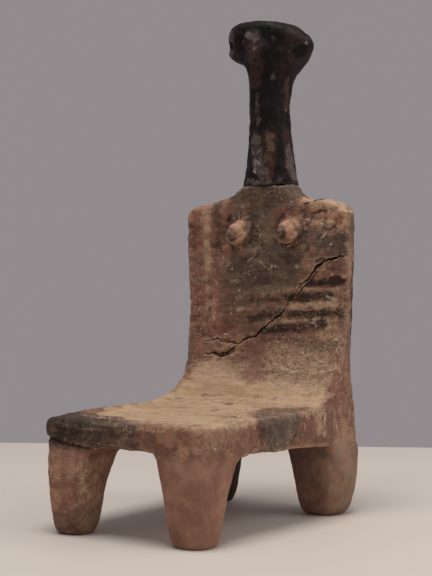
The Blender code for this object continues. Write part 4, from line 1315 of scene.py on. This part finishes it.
# Name, what its tone follows, and its stops
PAINT_TONES = (
    ("slip", wiped, ((0.40, "#aa8e6e"), (0.47, "#ba9d7b"), (0.54, "#c5a88a"), (0.62, "#b3917a"))),
    ("red", pattern["blotches"], ((0.38, "#966453"), (0.50, "#845548"), (0.62, "#724a40"))),
    ("soot", pattern["blotches"], ((0.36, "#50453f"), (0.50, "#61554b"), (0.64, "#776754"))),
)
tones = {}
for name, value, stops in PAINT_TONES:
    tones[name] = add(tree, "ValToRGB", (value,))
    set_stops(tones[name], stops)
print("tones mixed for", ", ".join(tones))

# %% Worn paint, painted highlight on bulges and painted shade in hollows
wear = wear_of(tree, ((pattern["mottle"], 0.4), (pattern["grain"], 0.4), (pattern["streaks"], 0.25)))
# Bulges get a pale painted highlight and hollows a dark painted shade, by how far each point stands out
painted_highlight_on_bulges = add(tree, "MapRange", (stored["relief"], 0.62, 1.0, 0.0, 0.4))
painted_shade_in_hollows = add(tree, "MapRange", (stored["relief"], 0.42, 0.05, 0.0, 0.6))
# Layer, colour, how much wear thins it, softness of its edge and opacity
colour = worn_layers(tree, colour, (
    ("bare", "#ca9b7e", 0.50, 0.36, 0.85),
    ("slip", tones["slip"], 0.45, 0.40, 0.90),
    ("red", tones["red"], 0.50, 0.42, 0.82),
), wear)
colour = cover_with(tree, colour, (("#c8a88c", painted_highlight_on_bulges),))
colour = worn_layers(tree, colour, (
    ("soot", tones["soot"], 0.35, 0.48, 0.88),
    ("dark", "#33221c", 0.34, 0.42, 0.95),
), wear)
# Painted shade darkens the hollows, over all the paint
colour = cover_with(tree, colour, (("#2b1e19", painted_shade_in_hollows),))
print("paint layers cover the clay")

# %% [markdown]
# ## Specks, flecks and smears
# Grog is crushed pottery in the clay and shows as dark specks, lime as pale ones. Flecks of slip
# hold in patches, fewer on dark paint. Thin smears run from side to side, fainter on whole slip.

# %% Specks, flecks and smears
grog = add(tree, "MapRange", (pattern["speckle"], 0.30, 0.22, 0.0, 0.7))
lime = add(tree, "MapRange", (pattern["speckle"], 0.665, 0.765))
lime_amount = add(tree, "MapRange", (stored["rough"], 0.0, 1.0, 0.25, 0.6))
lime = add(tree, "Math", (lime, lime_amount), operation="MULTIPLY")
flecks = add(tree, "MapRange", (pattern["flecks"], 0.66, 0.70, 0.0, 0.75))
fleck_patches = add(tree, "MapRange", (pattern["fleck patches"], 0.42, 0.58))
less_on_dark = add(tree, "MapRange", (stored["dark_layer"], 0.3, 0.8, 1.0, 0.2))
for amount in (fleck_patches, less_on_dark, stored["rough"]):
    flecks = add(tree, "Math", (flecks, amount), operation="MULTIPLY")
less_on_slip = add(tree, "MapRange", (stored["slip_layer"], 0.55, 0.85, 1.0, 0.25))
smear_amount = add(tree, "Math", (stored["rough"], less_on_slip), operation="MULTIPLY")
dark_smears = add(tree, "MapRange", (pattern["smears"], 0.56, 0.66, 0.0, 0.34))
dark_smears = add(tree, "Math", (dark_smears, smear_amount), operation="MULTIPLY")
light_smears = add(tree, "MapRange", (pattern["smears"], 0.42, 0.33, 0.0, 0.20))
light_smears = add(tree, "Math", (light_smears, smear_amount), operation="MULTIPLY")
colour = cover_with(tree, colour, (
    ("#33241d", grog),
    ("#cbb69f", lime),
    ("#cfb8a0", flecks),
    ("#43322a", dark_smears),
    ("#b0937a", light_smears),
))
print("specks, flecks and smears added")

# %% [markdown]
# ## Crumbling clay
# Crumbling clay breaks into flat chips 2 mm across, with dark gaps, pale rims and pale threads
# between them. A cell pattern gives the chips, and a soft noise sways it so that none is regular.

# %% Threads, chips and gaps
CHIP_SIZE = 2.1
CHIP_SWAY = 2.6

threads = add(tree, "Math", (pattern["threads"], 0.5), operation="SUBTRACT")
threads = add(tree, "Math", (threads,), operation="ABSOLUTE")
threads = add(tree, "MapRange", (threads, 0.016, 0.004))
thread_patches = add(tree, "MapRange", (pattern["thread patches"], 0.55, 0.62))
where_crumbly = add(tree, "MapRange", (stored["crumbly"], 0.2, 0.5))
for amount in (thread_patches, where_crumbly):
    threads = add(tree, "Math", (threads, amount), operation="MULTIPLY")

sway = add(tree, "TexNoise", {"Vector": place, "Scale": per_mm(2.0), "Detail": 3.0}, "Color")
sway = add(tree, "VectorMath", {0: sway, "Scale": CHIP_SWAY * MM}, operation="SCALE")
swayed = add(tree, "VectorMath", (place, sway), operation="ADD")
cells = {"Vector": swayed, "Scale": per_mm(CHIP_SIZE)}
chips = add(tree, "TexVoronoi", cells, "Color")
to_gap = add(tree, "TexVoronoi", cells, "Distance", feature="DISTANCE_TO_EDGE")
chips = add(tree, "Math", (chips, stored["crumbly"]), operation="MULTIPLY")
gap_grain = add(tree, "MapRange", (pattern["grain"], 0.44, 0.54))
gaps = add(tree, "MapRange", (to_gap, 0.075, 0.02))
for amount in (stored["crumbly"], gap_grain):
    gaps = add(tree, "Math", (gaps, amount), operation="MULTIPLY")
rim_light = add(tree, "MapRange", (pattern["speckle"], 0.48, 0.62, 0.0, 0.75))
chip_rims = add(tree, "MapRange", (to_gap, 0.17, 0.09))
for amount in (stored["crumbly"], rim_light):
    chip_rims = add(tree, "Math", (chip_rims, amount), operation="MULTIPLY")
print("chips", CHIP_SIZE, "mm across")

# %% Cover with crumbs, scratches and hairline cracks
scratches = add(tree, "MapRange", (stored["scratch"], 0.41, 0.14, 0.0, 0.8))
scratch_grain = add(tree, "MapRange", (pattern["grain"], 0.42, 0.54))
white_scratches = add(tree, "Math", (scratches, scratch_grain), operation="MULTIPLY")
hairlines = add(tree, "MapRange", (stored["hairline"], 0.45, 0.2, 0.0, 0.85))
pale_threads = add(tree, "Math", (threads, 0.55), operation="MULTIPLY")
dark_gaps = add(tree, "Math", (gaps, 0.65), operation="MULTIPLY")
colour = cover_with(tree, colour, (
    ("#c9ad92", pale_threads),
    ("#cdb294", chip_rims),
    ("#2a1c16", dark_gaps),
    ("#d6c1a8", white_scratches),
    ("#241813", hairlines),
))
tree.links.new(colour, shader.inputs["Base Color"])
print("colour of the body done")

# %% [markdown]
# ## The body to the touch
# The same patterns are raised or sunk, so that light picks them out. Earthenware has an IOR of
# 1.5. It is matt: a roughness of 0.9 and little specular light give the eye no highlight at all.

# %% Relief and shine of the body
height = piled(tree, pattern["grain"], (
    (pattern["speckle"], 0.5),
    (threads, 0.5),
    (chips, 1.6),
    (gaps, -1.0),
    (scratches, 0.3),
    (hairlines, -1.2),
))
bump_strength = add(tree, "MapRange", (stored["rough"], 0.0, 1.0, 0.25, 0.75))
skin = add(tree, "Bump", {"Height": height, "Strength": bump_strength, "Distance": 0.35 * MM})
tree.links.new(skin, shader.inputs["Normal"])
shader.inputs["Roughness"].default_value = 0.9
shader.inputs["IOR"].default_value = 1.5
shader.inputs["Specular IOR Level"].default_value = 0.3
print("body material has", len(tree.nodes), "nodes")

# %% [markdown]
# ## The head and neck
# The head is broad and flat on top, with a lump at each side, a small worn nose and sunken eyes.
# Nothing finer is left, and nothing is put back. A few pushes shape what shows: the hollow behind
# the near lump, the socket beside the far one, the brow, the nose and small pits all over.

# %% Shape the head
HEAD_PIT_COUNT = 170
HEAD_PIT_SEED = 41
HEAD_PIT_SLOPE = 0.3
# Centre, reach and height in mm, negative for a hollow
HEAD_DENTS = (
    ((13.6, 35.2, 158.4), 3.4, -2.5), ((12.2, 34, 156.8), 2.4, -0.6), ((-8.4, 29.8, 164.4), 2.5, -1.7),
    ((-7.8, 29.8, 161), 2.8, -2.1), ((-8.4, 31, 158), 1.9, -0.8), ((-14.6, 33.2, 163.3), 2, -1.7),
    ((14.4, 37, 165.3), 1.8, -0.8), ((15.4, 36, 162.2), 1.8, 0.3), ((-3.4, 28.3, 164.7), 2.6, 0.9),
    ((-0.4, 27.7, 164), 2.8, 1), ((-0.1, 26.4, 158.9), 1.7, 0.5), ((5.6, 27.8, 163), 2, -0.6),
    ((8.4, 30, 161.2), 3, -0.5), ((-1.4, 28.4, 156.3), 0.9, -0.5), ((-2.8, 30, 154.6), 0.9, -0.45),
    ((-0.2, 29.8, 153.4), 0.8, -0.4), ((-3.6, 31.2, 150.6), 0.9, -0.3), ((4.6, 31.7, 151.2), 1.2, -0.3),
)
points, normals = read(head)
push = 0.16 * ripple(points, 6.5, 21) + 0.10 * ripple(points, 2.4, 22) + 0.06 * ripple(points, 1.0, 23)
for centre, reach, height in HEAD_DENTS:
    push += height * climb(1.3 * reach, 0.15 * reach, gap_to(centre, points))
rng = np.random.default_rng(HEAD_PIT_SEED)
for centre in points[rng.integers(0, len(points), HEAD_PIT_COUNT)]:
    reach = rng.uniform(0.35, 0.9)
    push -= HEAD_PIT_SLOPE * reach * climb(reach, 0.3 * reach, gap_to(centre, points))
write(head, points + push[:, None] * normals)
head.data.materials.clear()
for polygon in head.data.polygons:
    polygon.use_smooth = True
print("head shaped, push from", push.min().round(2), "to", push.max().round(2), "mm")

# %% [markdown]
# ## Paint left on the head
# Black-brown paint covers the head and neck. It has rubbed through to orange clay in a strip at
# the side of the neck, to tan and red in the middle of its foot, and to grey lime around that.
# Pale and grey strokes on the brow, the nose, the far lump and the near lump's rim are painted
# highlights, and black in the near hollow and the eye socket is painted shade.
# The head is round, so its strokes are drawn in space: across, to the rear and up.

# %% Strokes on the head
HEAD_LAYERS = ("orange", "tan", "plum", "grey", "pale", "black")
# Layer, width in mm, strength and route
HEAD_WEAR = (
    # Black in the near lump's hollow and in the eye socket is painted shade
    ("black", 5.2, 0.95, ((13.2, 34.6, 158.8), (13.4, 35.6, 158.2))),
    ("black", 3.2, 0.9, ((-8.6, 29.6, 165), (-8.4, 30.4, 158.6))),
    ("black", 4, 0.6, ((4, 31, 147.5), (3.6, 31.4, 142))),
    ("black", 7, 0.9, ((3.2, 28.4, 166.6), (8.5, 29.8, 166))),
    ("plum", 8, 0.55, ((12, 32, 164), (13, 34, 156))),
    ("orange", 2.7, 1, ((7.6, 36.3, 149), (7.2, 36.9, 146))),
    ("orange", 2, 0.9, ((7.2, 36.9, 146), (6.9, 37.4, 141.7), (6.8, 36.6, 139))),
    ("grey", 1.8, 0.48, ((-1.8, 31.6, 143.8), (-1.7, 31.6, 138), (-1.2, 31.7, 134))),
    ("pale", 0.8, 0.6, ((6.8, 36.6, 139), (6.6, 36.2, 136.4))),
    ("tan", 2.6, 0.85, ((2.7, 32, 130.2), (2.9, 32, 127.7), (3, 32, 125))),
    ("tan", 3, 0.5, ((2.2, 32, 124), (1.6, 32, 120))),
    ("orange", 3.2, 0.62, ((3.2, 31.9, 124.4), (3.2, 31.9, 120), (3.1, 31.8, 115))),
    ("plum", 7, 0.75, ((2, 31.9, 128), (1.8, 31.9, 120), (1, 31.8, 114))),
    ("grey", 4.5, 0.62, ((-3, 31.7, 130), (-2.6, 31.7, 122), (0.2, 31.6, 116.4))),
    ("pale", 0.9, 0.6, ((-2.4, 31.7, 124), (-1.8, 31.7, 123.8))),
    ("pale", 1.1, 0.6, ((-2.6, 31.7, 121.4), (-1.6, 31.7, 120.6))),
    ("pale", 0.8, 0.55, ((-3.6, 31.7, 118), (-3.2, 31.7, 117.2))),
    ("plum", 6.5, 0.9, ((-2, 28.2, 162.6), (-0.8, 27.2, 159), (-1.5, 28.5, 156), (-3.2, 30.6, 150))),
    ("orange", 2.6, 0.55, ((-1.4, 27.2, 161.6), (-1.2, 27, 159), (-1.6, 28, 156.6))),
    # Pale and grey on the nose, the brow and the far lump are painted highlights
    ("pale", 0.9, 0.9, ((-0.4, 26.4, 158.8), (0, 26.4, 158.5))),
    ("pale", 2, 0.55, ((-2.4, 27.9, 164.5), (-0.6, 27.7, 164.2))),
    ("grey", 3.2, 1, ((-3.6, 28.2, 165), (-1.6, 27.8, 164.4), (0.2, 27.6, 163.9))),
    ("grey", 4, 0.6, ((-13.5, 31.6, 166.5), (-14.2, 33, 161))),
    ("plum", 2.2, 0.85, ((15.2, 36.2, 160.5), (15.3, 36.2, 163.5))),
    ("plum", 6, 0.62, ((8.5, 36.5, 130), (9.4, 37, 121), (10.6, 37, 112.8))),
    ("grey", 4.6, 0.75, ((9, 36.7, 125), (10, 37, 116))),
    ("grey", 2, 0.6, ((-7, 32.6, 114.5), (0, 31.8, 113.6), (7, 32.6, 113.6))),
    ("grey", 0.8, 0.7, ((5.6, 31.9, 152.6), (3.8, 31.6, 150))),
    # A painted highlight on the near lump's rim
    ("pale", 0.6, 0.7, ((15.2, 35.9, 162.5), (15.3, 36.2, 161.5))),
)
print(len(HEAD_WEAR), "strokes")

# %% Worn places on the head
HEAD_RELIEF_ROUNDS = 6
HEAD_RELIEF_GAIN = 2.2

points, normals = read(head)
wobble = 0.7 * ripple(points, 2.6, 24) + 0.35 * ripple(points, 1.0, 25)
head_layers = {name: np.zeros(len(points)) for name in HEAD_LAYERS}
for layer, width, strength, route in HEAD_WEAR:
    soft = 0.4 + 0.12 * width
    covered = climb(-soft, soft, 0.5 * width - far_from(route, points) + 0.9 * wobble)
    head_layers[layer] = np.maximum(head_layers[layer], strength * covered)
for name in HEAD_LAYERS:
    store(head, name + "_layer", head_layers[name])
relief = standing_out(head, points, normals, HEAD_RELIEF_ROUNDS)
store(head, "relief", np.clip(0.5 + HEAD_RELIEF_GAIN * relief, 0.0, 1.0))
print("layers on the head:", ", ".join(HEAD_LAYERS))

# %% [markdown]
# ## Finish of the head
# Manganese-black paint, rubbed while damp, keeps a little sheen: a roughness of about 0.55 shows
# the eye a soft glow on the brow and no clear reflection. The tone wanders between black-brown
# and plum-brown over 6 mm.

# %% Black paint, worn through
head_material, tree, shader, place = new_material("manganese black paint on earthenware")
pattern = noises(tree, place, (
    ("broad", 6.0, 4.0, 0.6),
    ("mottle", 2.2, 5.0, 0.6),
    ("grain", 0.8, 4.0, 0.65),
    ("lime", 0.5, 2.0, 0.5),
))
black_tones = add(tree, "ValToRGB", (pattern["broad"],))
set_stops(black_tones, ((0.36, "#100c0b"), (0.54, "#171110"), (0.70, "#291d1c")))
wear = wear_of(tree, ((pattern["mottle"], 0.5), (pattern["grain"], 0.4)))
# Layer, colour, how much wear thins it, softness of its edge and opacity
colour = worn_layers(tree, black_tones, (
    ("plum", "#3f2a26", 0.40, 0.48, 0.80),
    ("orange", "#523427", 0.40, 0.42, 0.80),
    ("tan", "#695343", 0.40, 0.40, 0.80),
    ("grey", "#6f635e", 0.50, 0.48, 0.72),
    ("pale", "#9d958b", 0.55, 0.34, 0.85),
    ("black", "#0e0a0a", 0.30, 0.46, 0.85),
), wear)
relief_here = add(tree, "Attribute", output="Fac", attribute_name="relief")
# Painted shade darkens the head's hollows and a painted highlight lightens its bulges
painted_shade_in_hollows = add(tree, "MapRange", (relief_here, 0.44, 0.15, 0.0, 0.75))
painted_highlight_on_bulges = add(tree, "MapRange", (relief_here, 0.62, 1.0, 0.0, 0.35))
lime = add(tree, "MapRange", (pattern["lime"], 0.80, 0.86, 0.0, 0.5))
colour = cover_with(tree, colour, (("#0c0908", painted_shade_in_hollows), ("#5f4f48", painted_highlight_on_bulges), ("#8d8278", lime)))
tree.links.new(colour, shader.inputs["Base Color"])
print("head painted")

# %% Relief and sheen of the head
sheen = add(tree, "MapRange", (pattern["mottle"], NOISE_LOW, NOISE_HIGH, 0.48, 0.66))
tree.links.new(sheen, shader.inputs["Roughness"])
height = piled(tree, pattern["grain"], ((pattern["mottle"], 1.2),))
skin = add(tree, "Bump", {"Height": height, "Strength": 0.5, "Distance": 0.3 * MM})
tree.links.new(skin, shader.inputs["Normal"])
shader.inputs["IOR"].default_value = 1.5
shader.inputs["Specular IOR Level"].default_value = 0.18
head.data.materials.append(head_material)
print("head material has", len(tree.nodes), "nodes")

# %% [markdown]
# ## The pieces take the solids' places
# Each piece stands in for its solid and rides with the one rigid body.

# %% Put the pieces in the solids' places
for piece, node, slot in (
    (body, "seated_body", "fired_clay"),
    (head, "head_and_neck", "blackened_clay"),
):
    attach(piece, "root")
    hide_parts(node)
